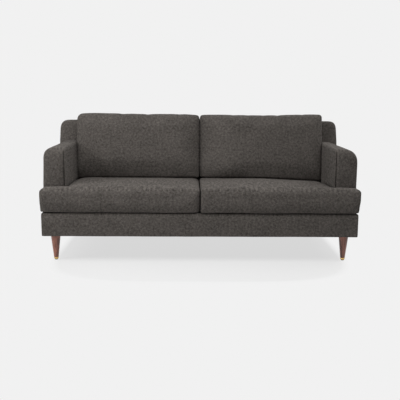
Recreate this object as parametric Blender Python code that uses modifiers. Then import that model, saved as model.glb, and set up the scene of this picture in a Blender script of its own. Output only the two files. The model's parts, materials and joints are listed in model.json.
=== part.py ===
"""Two-seater sofa: a sprung timber frame in padded covers, with loose T-shaped seat cushions,
loose back cushions and turned wooden legs.

Metres, +Z up. The front faces -Y, the origin is on the floor under the middle of the sofa,
and left and right are the viewer's, facing it.
"""
import math

import bmesh
import bpy

# Clearance between pieces that touch
GAP = 0.0003

# Body
BODY_WIDTH = 1.980  # across the arms, and across the back
SEAT_DEPTH = 0.678  # front of the seat cushions to the face of the back, level with the deck
LEG_HEIGHT = 0.170  # floor to the underside of the base
BASE_HEIGHT = 0.140
BASE_SETBACK = 0.018  # base front behind the front of the seat cushions
BASE_SIDE_INSET = 0.004  # base side inside the side of the arm
BASE_REAR_INSET = 0.004  # base rear inside the foot of the back
ARM_WIDTH = 0.133
ARM_HEIGHT = 0.391  # above the base
ARM_SETBACK = 0.135  # arm front behind the front of the seat cushions
ARM_CORNER_RADIUS = 0.056  # outer top corner, seen from the front
BACK_HEIGHT = 0.540  # above the base
BACK_THICKNESS = 0.135
BACK_RAKE = math.radians(7.2)
BACK_CORNER_RADIUS = 0.052  # top corners, seen from the front

# Padded covers
SOFT_EDGE = 0.010  # radius along the sewn edges of the arms and the back
PANEL_EDGE = 0.005  # radius along the edges of the base covers
BASE_COVER_THICKNESS = 0.012
DECK_THICKNESS = 0.008
DUST_COVER_THICKNESS = 0.0012
ARM_PAD_TOP = 0.026
ARM_PAD_SIDE = 0.018
ARM_PAD_FRONT = 0.018
BACK_PAD_FRONT = 0.045
BACK_PAD_REAR = 0.012
BACK_PAD_SIDE = 0.018
BACK_PAD_TOP = 0.024

# Timber
RAIL_THICKNESS = 0.025
CENTRE_RAIL_THICKNESS = 0.030
CENTRE_RAIL_DROP = 0.032  # top of the centre rail below the other rails, clear of the springs
CORNER_BLOCK_SIZE = 0.120
CORNER_BLOCK_CHAMFER = 0.018
CORNER_BLOCK_HEIGHT = 0.060
ARM_BOARD_THICKNESS = 0.022
ARM_PANEL_THICKNESS = 0.018
ARM_WINDOW_COUNT = 3
ARM_WINDOW_HEIGHT = 0.170
ARM_WINDOW_WEB = 0.050
ARM_WINDOW_CHAMFER = 0.020
BACK_POST_WIDTH = 0.032
BACK_RAIL_HEIGHT = 0.045
BACK_LOWER_RAIL_HEIGHT = 0.140  # underside of the lower rail above the deck, along the rake

# Springs and webbing
SPRING_COUNT = 6
SPRING_WIDTH = 0.075
SPRING_BARS = 14
SPRING_WIRE_RADIUS = 0.0019
SPRING_SAG = 0.014
SPRING_SEAT = 0.013  # how far an end bar lies inside the rail's face
WEB_COUNT = 2
WEB_WIDTH = 0.060
WEB_THICKNESS = 0.002

# Legs
LEG_SIDE_INSET = 0.075  # leg axis inside the side of the base
LEG_FRONT_INSET = 0.077  # leg axis behind the front of the base
LEG_REAR_INSET = 0.046  # leg axis ahead of the rear of the base
LEG_TOP_DIAMETER = 0.062
LEG_TIP_DIAMETER = 0.029
LEG_TOP_CHAMFER = 0.003
LEG_STEPS = 20
FERRULE_HEIGHT = 0.010
FERRULE_WALL = 0.003
GLIDE_DIAMETER = 0.020
GLIDE_HEIGHT = 0.006
GLIDE_STUD_DIAMETER = 0.006
GLIDE_STUD_LENGTH = 0.010
BOLT_DIAMETER = 0.008
BOLT_DEPTH = 0.034  # bolt inside the leg
BOLT_REACH = 0.045  # bolt above the leg
BOLT_STEPS = 10

# Seat cushions
SEAT_CUSHION_GAP = 0.003  # between the two cushions
SEAT_SIDE_CLEARANCE = 0.002  # cushion to arm
SEAT_WING_OVERHANG = 0.005  # wing outside the side of the arm
SEAT_THICKNESS = 0.158  # along the front edge
SEAT_FALL = 0.014  # the top is lower at the rear
SEAT_ARM_FALL = 0.010  # lower again beside the arm, at the rear
SEAT_CROWN = 0.018
SEAT_SOFT_EDGE = 0.036  # width of the band that rounds over at each edge
SEAT_NOTCH_EDGE = 0.012  # width of the band that rounds into the corner round the arm
SEAT_FOOT_INSET = 0.004  # sides drawn in along the lower seam
SEAT_MEETING_INSET = 0.002  # the same where the two cushions meet
SEAT_SHOULDER_INSET = 0.004  # sides drawn in along the upper seam
SEAT_SIDE_DRAW = 0.004  # sides drawn in between the corners
SEAT_WRAP = 0.018  # cloth and fibre wrap over the foam
FOAM_EDGE = 0.012

# Back cushions
BACK_CUSHION_GAP = 0.003
BACK_CUSHION_THICKNESS = 0.142
BACK_CUSHION_TOP = 0.599  # above the base
BACK_CUSHION_CROWN = 0.020
BACK_CUSHION_SOFT_EDGE = 0.034
BACK_CUSHION_EDGE_INSET = 0.006  # front edge drawn in along its seam
BACK_CUSHION_SAG = 0.008  # top edge lower in the middle than at the corners
BACK_CUSHION_WRAP = 0.020
ZIP_LENGTH = 0.500
ZIP_WIDTH = 0.004

# Places worked out from the sizes
BASE_TOP = LEG_HEIGHT + BASE_HEIGHT
BACK_LENGTH = BACK_HEIGHT / math.cos(BACK_RAKE)
BACK_REACH = (
    (BACK_THICKNESS - SOFT_EDGE) * math.cos(BACK_RAKE)
    + (BACK_LENGTH - SOFT_EDGE) * math.sin(BACK_RAKE)
    + SOFT_EDGE
)
FRONT_Y = -(SEAT_DEPTH + BACK_REACH) / 2
BACK_Y = FRONT_Y + SEAT_DEPTH
BASE_FRONT_Y = FRONT_Y + BASE_SETBACK
BASE_REAR_Y = BACK_Y + BACK_THICKNESS / math.cos(BACK_RAKE) - BASE_REAR_INSET
BASE_SIDE_X = BODY_WIDTH / 2 - BASE_SIDE_INSET
ARM_OUTER_X = BODY_WIDTH / 2
ARM_INNER_X = ARM_OUTER_X - ARM_WIDTH
ARM_FRONT_Y = FRONT_Y + ARM_SETBACK
ARM_TOP = BASE_TOP + ARM_HEIGHT
FRAME_SIDE_X = BASE_SIDE_X - BASE_COVER_THICKNESS - GAP
FRAME_FRONT_Y = BASE_FRONT_Y + BASE_COVER_THICKNESS + GAP
FRAME_REAR_Y = BASE_REAR_Y - BASE_COVER_THICKNESS - GAP
FRAME_BOTTOM = LEG_HEIGHT + DUST_COVER_THICKNESS + GAP
FRAME_TOP = BASE_TOP - DECK_THICKNESS - GAP
PLATFORM = BASE_TOP + GAP  # level that the arms, the back and the seat cushions stand on
LEG_X = BASE_SIDE_X - LEG_SIDE_INSET
LEG_FRONT_Y = BASE_FRONT_Y + LEG_FRONT_INSET
LEG_REAR_Y = BASE_REAR_Y - LEG_REAR_INSET
FAR = 3.0  # past every side of the sofa
SIDES = {"left": -1, "right": 1}


def clear_scene():
    for old in list(bpy.data.objects):
        bpy.data.objects.remove(old, do_unlink=True)


def make_collection(name):
    collection = bpy.data.collections.new(name)
    bpy.context.scene.collection.children.link(collection)
    return collection


def make_material(name, color, roughness, metallic=0.0):
    material = bpy.data.materials.new(name)
    material.use_nodes = True
    shader = material.node_tree.nodes["Principled BSDF"]
    shader.inputs["Base Color"].default_value = (*color, 1.0)
    shader.inputs["Roughness"].default_value = roughness
    shader.inputs["Metallic"].default_value = metallic
    return material


clear_scene()
SOFA = make_collection("two_seater_sofa")
CUTTERS = make_collection("cutters")

CLOTH = make_material("charcoal_cloth", (0.075, 0.070, 0.066), 0.95)
LINING = make_material("black_lining", (0.015, 0.015, 0.016), 0.95)
FOAM = make_material("cushion_foam", (0.72, 0.66, 0.48), 0.90)
FIBRE = make_material("cushion_fibre", (0.80, 0.79, 0.76), 0.95)
PINE = make_material("frame_timber", (0.55, 0.38, 0.21), 0.70)
WALNUT = make_material("leg_timber", (0.165, 0.070, 0.034), 0.42)
BRASS = make_material("brass", (0.72, 0.50, 0.20), 0.30, 1.0)
STEEL = make_material("spring_steel", (0.45, 0.45, 0.46), 0.40, 1.0)
RUBBER = make_material("glide_plastic", (0.020, 0.020, 0.020), 0.70)
WEBBING = make_material("webbing", (0.30, 0.24, 0.17), 0.90)


def place(name, data, location, material, parent=None):
    obj = bpy.data.objects.new(name, data)
    SOFA.objects.link(obj)
    obj.parent = parent
    obj.location = location
    data.materials.append(material)
    return obj


def place_cutter(name, data, location, parent=None):
    obj = bpy.data.objects.new(name, data)
    CUTTERS.objects.link(obj)
    obj.parent = parent
    obj.location = location
    obj.hide_render = True
    obj.display_type = "WIRE"
    return obj


def add_empty(name, location, parent=None):
    empty = bpy.data.objects.new(name, None)
    SOFA.objects.link(empty)
    empty.parent = parent
    empty.location = location
    return empty


def mesh_from(name, shape):
    mesh = bpy.data.meshes.new(name)
    shape.to_mesh(mesh)
    shape.free()
    return mesh


def block(low, high):
    shape = bmesh.new()
    bmesh.ops.create_cube(shape, size=1.0)
    size = [b - a for a, b in zip(low, high)]
    centre = [(a + b) / 2 for a, b in zip(low, high)]
    bmesh.ops.scale(shape, vec=size, verts=shape.verts)
    bmesh.ops.translate(shape, vec=centre, verts=shape.verts)
    return shape


def box_parts(name, low, high):
    centre = [(a + b) / 2 for a, b in zip(low, high)]
    half = [(b - a) / 2 for a, b in zip(low, high)]
    shape = block([-h for h in half], half)
    return mesh_from(name, shape), centre


def add_box(name, low, high, material, parent=None):
    mesh, centre = box_parts(name, low, high)
    return place(name, mesh, centre, material, parent)


def add_box_cutter(name, low, high, parent=None):
    mesh, centre = box_parts(name, low, high)
    return place_cutter(name, mesh, centre, parent)


def cut(target, cutter):
    boolean = target.modifiers.new(cutter.name, "BOOLEAN")
    boolean.operation = "DIFFERENCE"
    boolean.object = cutter


def soften(target, radius, segments=2):
    bevel = target.modifiers.new("soft_edges", "BEVEL")
    bevel.width = radius
    bevel.segments = segments
    bevel.limit_method = "ANGLE"
    bevel.angle_limit = math.radians(40)


def subdivide(target):
    smooth = target.modifiers.new("soft_form", "SUBSURF")
    smooth.levels = 1
    smooth.render_levels = 1


def side_span(side, inner, outer):
    return min(side * inner, side * outer), max(side * inner, side * outer)


def add_turned(name, profile, location, material, steps, closed=False):
    """Turn a profile of (radius, height) points, listed down the outer side, about a vertical axis."""
    mesh = bpy.data.meshes.new(name)
    shape = bmesh.new()
    points = [shape.verts.new((radius, 0, height)) for radius, height in profile]
    for first, second in zip(points, points[1:]):
        shape.edges.new((first, second))
    if closed:
        shape.edges.new((points[-1], points[0]))
    shape.to_mesh(mesh)
    shape.free()
    obj = place(name, mesh, location, material)
    screw = obj.modifiers.new("turn", "SCREW")
    screw.axis = "Z"
    screw.angle = math.tau
    screw.steps = steps
    screw.render_steps = steps
    screw.use_merge_vertices = True
    screw.merge_threshold = 0.00001
    screw.use_smooth_shade = True
    return obj


def add_plate(name, outlines, thickness, location, material, rotation=(0, 0, 0)):
    """A flat piece from an outline, with any further outlines as its holes."""
    curve = bpy.data.curves.new(name, "CURVE")
    curve.dimensions = "2D"
    curve.fill_mode = "BOTH"
    curve.extrude = thickness / 2
    for outline in outlines:
        spline = curve.splines.new("POLY")
        spline.points.add(len(outline) - 1)
        for point, (x, y) in zip(spline.points, outline):
            point.co = (x, y, 0, 1)
        spline.use_cyclic_u = True
    obj = place(name, curve, location, material)
    obj.rotation_euler = rotation
    return obj


def circle(x, y, radius, count=12):
    angles = [math.tau * step / count for step in range(count)]
    return [(x + radius * math.cos(angle), y + radius * math.sin(angle)) for angle in angles]


def chamfered_rectangle(low, high, chamfer):
    (x0, y0), (x1, y1) = low, high
    return [
        (x0 + chamfer, y0), (x1 - chamfer, y0), (x1, y0 + chamfer), (x1, y1 - chamfer),
        (x1 - chamfer, y1), (x0 + chamfer, y1), (x0, y1 - chamfer), (x0, y0 + chamfer),
    ]


def rectangle(low, high):
    (x0, y0), (x1, y1) = low, high
    return [(x0, y0), (x1, y0), (x1, y1), (x0, y1)]


BACK_FRAME = add_empty("back_frame", (0, BACK_Y, BASE_TOP))
BACK_FRAME.rotation_euler = (-BACK_RAKE, 0, 0)
BELOW_PLATFORM = add_box_cutter("below_platform", (-FAR, -FAR, 0), (FAR, FAR, PLATFORM))
BEHIND_BACK_FACE = add_box_cutter("behind_back_face", (-FAR, -GAP, -FAR), (FAR, FAR, FAR), BACK_FRAME)


def back_face_y(height):
    """Where the face of the back stands at a height above the floor."""
    return BACK_Y + (height - BASE_TOP) * math.tan(BACK_RAKE)


def spring_x(index):
    pitch = 2 * ARM_INNER_X / SPRING_COUNT
    return -ARM_INNER_X + pitch * (index + 0.5)


def build_leg(corner, x, y):
    tip = LEG_TIP_DIAMETER / 2
    top = LEG_TOP_DIAMETER / 2
    bore = BOLT_DIAMETER / 2 + GAP
    stud = GLIDE_STUD_DIAMETER / 2
    spigot = tip - FERRULE_WALL - GAP
    foot = GLIDE_HEIGHT + GAP
    shoulder = foot + FERRULE_HEIGHT + GAP
    spigot_end = foot + FERRULE_WALL + GAP
    stud_end = GLIDE_HEIGHT + GLIDE_STUD_LENGTH
    leg_top = LEG_HEIGHT - GAP
    leg = [
        (0, leg_top - BOLT_DEPTH - GAP),
        (bore, leg_top - BOLT_DEPTH - GAP),
        (bore, leg_top),
        (top - LEG_TOP_CHAMFER, leg_top),
        (top, leg_top - LEG_TOP_CHAMFER),
        (tip, shoulder),
        (spigot, shoulder),
        (spigot, spigot_end),
        (stud + GAP, spigot_end),
        (stud + GAP, stud_end + GAP),
        (0, stud_end + GAP),
    ]
    ferrule = [
        (tip - FERRULE_WALL, shoulder - GAP),
        (tip, shoulder - GAP),
        (tip - FERRULE_WALL / 4, foot),
        (stud + GAP, foot),
        (stud + GAP, foot + FERRULE_WALL),
        (tip - FERRULE_WALL, foot + FERRULE_WALL),
    ]
    glide = [
        (0, stud_end),
        (stud, stud_end),
        (stud, GLIDE_HEIGHT),
        (GLIDE_DIAMETER / 2, GLIDE_HEIGHT),
        (GLIDE_DIAMETER / 2, GLIDE_HEIGHT / 3),
        (GLIDE_DIAMETER / 2 - GLIDE_HEIGHT / 3, 0),
        (0, 0),
    ]
    bolt = [
        (0, leg_top + BOLT_REACH),
        (BOLT_DIAMETER / 2, leg_top + BOLT_REACH),
        (BOLT_DIAMETER / 2, leg_top - BOLT_DEPTH),
        (0, leg_top - BOLT_DEPTH),
    ]
    add_turned(f"leg_{corner}", leg, (x, y, 0), WALNUT, LEG_STEPS)
    add_turned(f"leg_ferrule_{corner}", ferrule, (x, y, 0), BRASS, LEG_STEPS, closed=True)
    add_turned(f"leg_glide_{corner}", glide, (x, y, 0), RUBBER, LEG_STEPS)
    add_turned(f"leg_bolt_{corner}", bolt, (x, y, 0), STEEL, BOLT_STEPS)


def build_corner_block(corner, side, end, leg_y):
    """A triangular block in a corner of the base, drilled for the leg's bolt."""
    corner_x = side * (FRAME_SIDE_X - RAIL_THICKNESS - GAP)
    rail_y = FRAME_FRONT_Y if end < 0 else FRAME_REAR_Y
    corner_y = rail_y - end * (RAIL_THICKNESS + GAP)
    size = CORNER_BLOCK_SIZE
    flat = CORNER_BLOCK_CHAMFER
    outline = [
        (corner_x, corner_y),
        (corner_x - side * size, corner_y),
        (corner_x - side * size, corner_y - end * flat),
        (corner_x - side * flat, corner_y - end * size),
        (corner_x, corner_y - end * size),
    ]
    hole = circle(side * LEG_X, leg_y, BOLT_DIAMETER / 2 + 2 * GAP)
    middle = FRAME_BOTTOM + CORNER_BLOCK_HEIGHT / 2
    add_plate(f"corner_block_{corner}", [outline, hole], CORNER_BLOCK_HEIGHT, (0, 0, middle), PINE)


def build_legs_and_blocks():
    for side_name, side in SIDES.items():
        for end_name, end, leg_y in (("front", -1, LEG_FRONT_Y), ("rear", 1, LEG_REAR_Y)):
            corner = f"{end_name}_{side_name}"
            build_leg(corner, side * LEG_X, leg_y)
            build_corner_block(corner, side, end, leg_y)


def groove_rail(rail, name, inner_y, outward):
    """Let the end bar of each spring into the top of a rail."""
    depth = 2 * SPRING_WIRE_RADIUS + 2 * GAP
    reach = SPRING_SEAT + SPRING_WIRE_RADIUS + GAP
    half = SPRING_WIDTH / 2 + SPRING_WIRE_RADIUS + GAP
    inner_end = inner_y - outward * RAIL_THICKNESS
    outer_end = inner_y + outward * reach
    low_y = min(inner_end, outer_end)
    high_y = max(inner_end, outer_end)
    for index in range(SPRING_COUNT):
        x = spring_x(index)
        low = (x - half, low_y, FRAME_TOP - depth)
        high = (x + half, high_y, FRAME_TOP + depth)
        cut(rail, add_box_cutter(f"{name}_groove_{index + 1}", low, high))


def build_base_frame():
    inner_front = FRAME_FRONT_Y + RAIL_THICKNESS
    inner_rear = FRAME_REAR_Y - RAIL_THICKNESS
    front = add_box("front_rail", (-FRAME_SIDE_X, FRAME_FRONT_Y, FRAME_BOTTOM),
                    (FRAME_SIDE_X, inner_front, FRAME_TOP), PINE)
    rear = add_box("rear_rail", (-FRAME_SIDE_X, inner_rear, FRAME_BOTTOM),
                   (FRAME_SIDE_X, FRAME_REAR_Y, FRAME_TOP), PINE)
    groove_rail(front, "front_rail", inner_front, -1)
    groove_rail(rear, "rear_rail", inner_rear, 1)
    for side_name, side in SIDES.items():
        x0, x1 = side_span(side, FRAME_SIDE_X - RAIL_THICKNESS, FRAME_SIDE_X)
        add_box(f"side_rail_{side_name}", (x0, inner_front + GAP, FRAME_BOTTOM),
                (x1, inner_rear - GAP, FRAME_TOP), PINE)
    half = CENTRE_RAIL_THICKNESS / 2
    add_box("centre_rail", (-half, inner_front + GAP, FRAME_BOTTOM),
            (half, inner_rear - GAP, FRAME_TOP - CENTRE_RAIL_DROP), PINE)


def spring_points(front, rear):
    """A zigzag of cross bars joined by half-round turns, hanging in a shallow sag."""
    pitch = (rear - front) / (SPRING_BARS - 1)
    turn = pitch / 2
    bar = SPRING_WIDTH / 2 - turn
    points = []
    for index in range(SPRING_BARS):
        y = front + pitch * index
        hand = 1 if index % 2 == 0 else -1
        points.append((-hand * bar, y))
        points.append((hand * bar, y))
        if index < SPRING_BARS - 1:
            for angle in (math.radians(60), math.radians(120)):
                x = hand * (bar + turn * math.sin(angle))
                points.append((x, y + turn - turn * math.cos(angle)))
    level = FRAME_TOP - GAP - SPRING_WIRE_RADIUS
    sagged = []
    for x, y in points:
        along = max(0.0, min(1.0, (y - front - 2 * SPRING_SEAT) / (rear - front - 4 * SPRING_SEAT)))
        sagged.append((x, y, level - SPRING_SAG * 4 * along * (1 - along)))
    return sagged


def build_springs():
    front = FRAME_FRONT_Y + RAIL_THICKNESS - SPRING_SEAT
    rear = FRAME_REAR_Y - RAIL_THICKNESS + SPRING_SEAT
    points = spring_points(front, rear)
    for index in range(SPRING_COUNT):
        name = f"seat_spring_{index + 1}"
        curve = bpy.data.curves.new(name, "CURVE")
        curve.dimensions = "3D"
        curve.bevel_depth = SPRING_WIRE_RADIUS
        curve.bevel_resolution = 1
        curve.use_fill_caps = True
        spline = curve.splines.new("POLY")
        spline.points.add(len(points) - 1)
        for point, (x, y, z) in zip(spline.points, points):
            point.co = (x, y, z, 1)
        place(name, curve, (spring_x(index), 0, 0), STEEL)


def build_base_covers():
    side_inner = BASE_SIDE_X - BASE_COVER_THICKNESS
    front_inner = BASE_FRONT_Y + BASE_COVER_THICKNESS
    rear_inner = BASE_REAR_Y - BASE_COVER_THICKNESS
    covers = [
        add_box("base_cover_front", (-BASE_SIDE_X, BASE_FRONT_Y, LEG_HEIGHT),
                (BASE_SIDE_X, front_inner, BASE_TOP), CLOTH),
        add_box("base_cover_rear", (-BASE_SIDE_X, rear_inner, LEG_HEIGHT),
                (BASE_SIDE_X, BASE_REAR_Y, BASE_TOP), CLOTH),
    ]
    for side_name, side in SIDES.items():
        x0, x1 = side_span(side, side_inner, BASE_SIDE_X)
        covers.append(add_box(f"base_cover_{side_name}", (x0, front_inner + GAP, LEG_HEIGHT),
                              (x1, rear_inner - GAP, BASE_TOP), CLOTH))
    for cover in covers:
        soften(cover, PANEL_EDGE)
    add_box("deck_cover", (-FRAME_SIDE_X, FRAME_FRONT_Y, BASE_TOP - DECK_THICKNESS),
            (FRAME_SIDE_X, FRAME_REAR_Y, BASE_TOP), LINING)
    outlines = [rectangle((-FRAME_SIDE_X, FRAME_FRONT_Y), (FRAME_SIDE_X, FRAME_REAR_Y))]
    for side in SIDES.values():
        for leg_y in (LEG_FRONT_Y, LEG_REAR_Y):
            outlines.append(circle(side * LEG_X, leg_y, BOLT_DIAMETER / 2 + 2 * GAP))
    middle = LEG_HEIGHT + DUST_COVER_THICKNESS / 2
    add_plate("dust_cover", outlines, DUST_COVER_THICKNESS, (0, 0, middle), LINING)


def build_arm(side_name, side):
    name = f"arm_cover_{side_name}"
    x0, x1 = side_span(side, ARM_INNER_X, ARM_OUTER_X)
    rear = back_face_y(ARM_TOP) + SOFT_EDGE * 3
    shape = block((x0, ARM_FRONT_Y, PLATFORM), (x1, rear, ARM_TOP))
    outer_edge = [
        edge for edge in shape.edges
        if all(abs(v.co.x - side * ARM_OUTER_X) < GAP and abs(v.co.z - ARM_TOP) < GAP for v in edge.verts)
    ]
    bmesh.ops.bevel(shape, geom=outer_edge, offset=ARM_CORNER_RADIUS, segments=5, profile=0.5, affect="EDGES")
    cover = place(name, mesh_from(name, shape), (0, 0, 0), CLOTH)
    soften(cover, SOFT_EDGE)
    hollow_x = side_span(side, ARM_INNER_X + ARM_PAD_SIDE, ARM_OUTER_X - ARM_PAD_SIDE)
    hollow_front = ARM_FRONT_Y + ARM_PAD_FRONT
    hollow_top = ARM_TOP - ARM_PAD_TOP
    low = (hollow_x[0], hollow_front, 0)
    high = (hollow_x[1], FAR, hollow_top)
    cut(cover, add_box_cutter(f"arm_hollow_{side_name}", low, high))
    cut(cover, BEHIND_BACK_FACE)
    build_arm_frame(side_name, side, hollow_front, hollow_top)


def build_arm_frame(side_name, side, hollow_front, hollow_top):
    inner = ARM_INNER_X + ARM_PAD_SIDE + GAP
    outer = ARM_OUTER_X - ARM_PAD_SIDE - GAP
    front = hollow_front + GAP
    rail_top = hollow_top - GAP
    rail_bottom = rail_top - ARM_BOARD_THICKNESS
    board_top = rail_bottom - GAP
    x0, x1 = side_span(side, inner, outer)
    rail = add_box(f"arm_top_rail_{side_name}", (x0, front, rail_bottom),
                   (x1, back_face_y(ARM_TOP), rail_top), PINE)
    cut(rail, BEHIND_BACK_FACE)

    panel_inner = outer - ARM_PANEL_THICKNESS
    foot_rear = back_face_y(PLATFORM) - 2 * GAP
    head_rear = back_face_y(board_top) - 2 * GAP
    outline = [(front, PLATFORM), (foot_rear, PLATFORM), (head_rear, board_top), (front, board_top)]
    webs = ARM_WINDOW_WEB * (ARM_WINDOW_COUNT + 1)
    window = (foot_rear - front - webs) / ARM_WINDOW_COUNT
    sill = (PLATFORM + board_top - ARM_WINDOW_HEIGHT) / 2
    windows = []
    for index in range(ARM_WINDOW_COUNT):
        start = front + ARM_WINDOW_WEB + index * (window + ARM_WINDOW_WEB)
        windows.append(chamfered_rectangle((start, sill), (start + window, sill + ARM_WINDOW_HEIGHT),
                                           ARM_WINDOW_CHAMFER))
    middle = side * (outer - ARM_PANEL_THICKNESS / 2)
    add_plate(f"arm_panel_{side_name}", [outline] + windows, ARM_PANEL_THICKNESS, (middle, 0, 0), PINE,
              (math.pi / 2, 0, math.pi / 2))

    x0, x1 = side_span(side, inner, panel_inner - GAP)
    add_box(f"arm_front_post_{side_name}", (x0, front, PLATFORM),
            (x1, front + ARM_BOARD_THICKNESS, board_top), PINE)


def build_back():
    """The raked back: every place here is along and square to its rake."""
    half = BODY_WIDTH / 2
    below = -BACK_THICKNESS
    shape = block((-half, 0, below), (half, BACK_THICKNESS, BACK_LENGTH))
    corners = [
        edge for edge in shape.edges
        if all(abs(v.co.z - BACK_LENGTH) < GAP for v in edge.verts)
        and abs(edge.verts[0].co.x - edge.verts[1].co.x) < GAP
    ]
    bmesh.ops.bevel(shape, geom=corners, offset=BACK_CORNER_RADIUS, segments=5, profile=0.5, affect="EDGES")
    cover = place("back_cover", mesh_from("back_cover", shape), (0, 0, 0), CLOTH, BACK_FRAME)
    soften(cover, SOFT_EDGE)
    hollow_side = half - BACK_PAD_SIDE
    hollow_rear = BACK_THICKNESS - BACK_PAD_REAR
    hollow_top = BACK_LENGTH - BACK_PAD_TOP
    cut(cover, add_box_cutter("back_hollow", (-hollow_side, BACK_PAD_FRONT, -FAR),
                              (hollow_side, hollow_rear, hollow_top), BACK_FRAME))
    cut(cover, BELOW_PLATFORM)

    web_front = BACK_PAD_FRONT + GAP
    front = web_front + WEB_THICKNESS + GAP
    rear = hollow_rear - GAP
    side_x = hollow_side - GAP
    rail_bottom = hollow_top - GAP - BACK_RAIL_HEIGHT
    add_box("back_top_rail", (-side_x, front, rail_bottom), (side_x, rear, hollow_top - GAP), PINE, BACK_FRAME)
    for side_name, side in SIDES.items():
        x0, x1 = side_span(side, side_x - BACK_POST_WIDTH, side_x)
        post = add_box(f"back_post_{side_name}", (x0, front, below), (x1, rear, rail_bottom - GAP), PINE,
                       BACK_FRAME)
        cut(post, BELOW_PLATFORM)
    inner_x = side_x - BACK_POST_WIDTH - GAP
    lower_top = BACK_LOWER_RAIL_HEIGHT + BACK_RAIL_HEIGHT
    add_box("back_lower_rail", (-inner_x, front, BACK_LOWER_RAIL_HEIGHT), (inner_x, rear, lower_top), PINE,
            BACK_FRAME)
    spacing = (rail_bottom - lower_top) / (WEB_COUNT + 1)
    for index in range(WEB_COUNT):
        middle = lower_top + spacing * (index + 1)
        add_box(f"back_web_{index + 1}", (-side_x, web_front, middle - WEB_WIDTH / 2),
                (side_x, web_front + WEB_THICKNESS, middle + WEB_WIDTH / 2), WEBBING, BACK_FRAME)


def cut_grid(shape, axis, levels):
    for level in levels:
        point = [0, 0, 0]
        normal = [0, 0, 0]
        point[axis] = level
        normal[axis] = 1
        geometry = shape.verts[:] + shape.edges[:] + shape.faces[:]
        bmesh.ops.bisect_plane(shape, geom=geometry, plane_co=point, plane_no=normal, dist=GAP / 10)


def t_block(inner, outer, wing, front, notch, rear, bottom, top):
    """Half of the T: a block between the arms whose front band runs on past the arm as a wing."""
    shape = block((inner, front, bottom), (outer, rear, top))
    cut_grid(shape, 1, [notch])
    ends = [face for face in shape.faces if face.normal.x > 0.9 and face.calc_center_median().y < notch]
    grown = bmesh.ops.extrude_face_region(shape, geom=ends)
    moved = [item for item in grown["geom"] if isinstance(item, bmesh.types.BMVert)]
    bmesh.ops.translate(shape, vec=(wing - outer, 0, 0), verts=moved)
    bmesh.ops.delete(shape, geom=ends, context="FACES_ONLY")
    return shape


def near(value, target):
    return abs(value - target) < GAP / 10


def seat_cage():
    """The right-hand seat cushion's outer form, as a coarse cage."""
    inner = SEAT_CUSHION_GAP / 2
    outer = ARM_INNER_X - SEAT_SIDE_CLEARANCE
    wing = ARM_OUTER_X + SEAT_WING_OVERHANG
    front = FRONT_Y
    notch = ARM_FRONT_Y - SEAT_SIDE_CLEARANCE
    rear = back_face_y(PLATFORM) - SEAT_SIDE_CLEARANCE
    bottom = PLATFORM
    top = BASE_TOP + SEAT_THICKNESS
    edge = SEAT_SOFT_EDGE
    third = (outer - inner - 2 * edge) / 3
    half = (rear - edge - notch) / 2
    tight = SEAT_NOTCH_EDGE
    shape = t_block(inner, outer, wing, front, notch, rear, bottom, top)
    cut_grid(shape, 0, [inner + edge, inner + edge + third, outer - edge - third, outer - edge])
    cut_grid(shape, 0, [outer + tight, wing - edge])
    cut_grid(shape, 1, [front + edge, notch - edge, notch + tight, notch + half, rear - edge])
    cut_grid(shape, 2, [(bottom + top) / 2])
    for vert in shape.verts:
        x, y, z = vert.co
        across = math.sin(math.pi * min(1.0, max(0.0, (x - inner) / (wing - inner))))
        rearward = min(1.0, max(0.0, (y - front) / (rear - front)))
        along = math.sin(math.pi * rearward)
        draw = 0.0
        meeting = 0.0
        if near(z, bottom):
            draw = SEAT_FOOT_INSET
            meeting = SEAT_MEETING_INSET
        if near(z, top):
            draw = SEAT_SHOULDER_INSET
            meeting = SEAT_MEETING_INSET
            vert.co.z += SEAT_CROWN * math.sqrt(across * along) - SEAT_FALL * rearward
            if near(x, outer) and y > notch + GAP:
                vert.co.z -= SEAT_ARM_FALL * rearward
        if near(x, inner):
            vert.co.x += meeting
        if near(x, wing) or (near(x, outer) and y > notch + GAP):
            vert.co.x -= draw + SEAT_SIDE_DRAW * along
        if near(y, front):
            vert.co.y += draw + SEAT_SIDE_DRAW * across
        if near(y, rear) or (near(y, notch) and x > outer + GAP):
            vert.co.y -= draw + SEAT_SIDE_DRAW * across
    return shape


def seat_core(grow):
    """The foam block inside a seat cushion, or the room for it when grown by the clearance."""
    wrap = SEAT_WRAP - grow
    return t_block(
        SEAT_CUSHION_GAP / 2 + wrap,
        ARM_INNER_X - SEAT_SIDE_CLEARANCE - wrap,
        ARM_OUTER_X + SEAT_WING_OVERHANG - wrap,
        FRONT_Y + wrap,
        ARM_FRONT_Y - SEAT_SIDE_CLEARANCE - wrap,
        back_face_y(PLATFORM) - SEAT_SIDE_CLEARANCE - wrap,
        PLATFORM + wrap,
        BASE_TOP + SEAT_THICKNESS - SEAT_FALL - wrap,
    )


def handed_mesh(name, shape, side, origin):
    """Mirror a right-hand form for the left, and move it to its own origin."""
    if side < 0:
        bmesh.ops.scale(shape, vec=(-1, 1, 1), verts=shape.verts)
        bmesh.ops.reverse_faces(shape, faces=shape.faces)
    bmesh.ops.translate(shape, vec=[-value for value in origin], verts=shape.verts)
    return mesh_from(name, shape)


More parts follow.
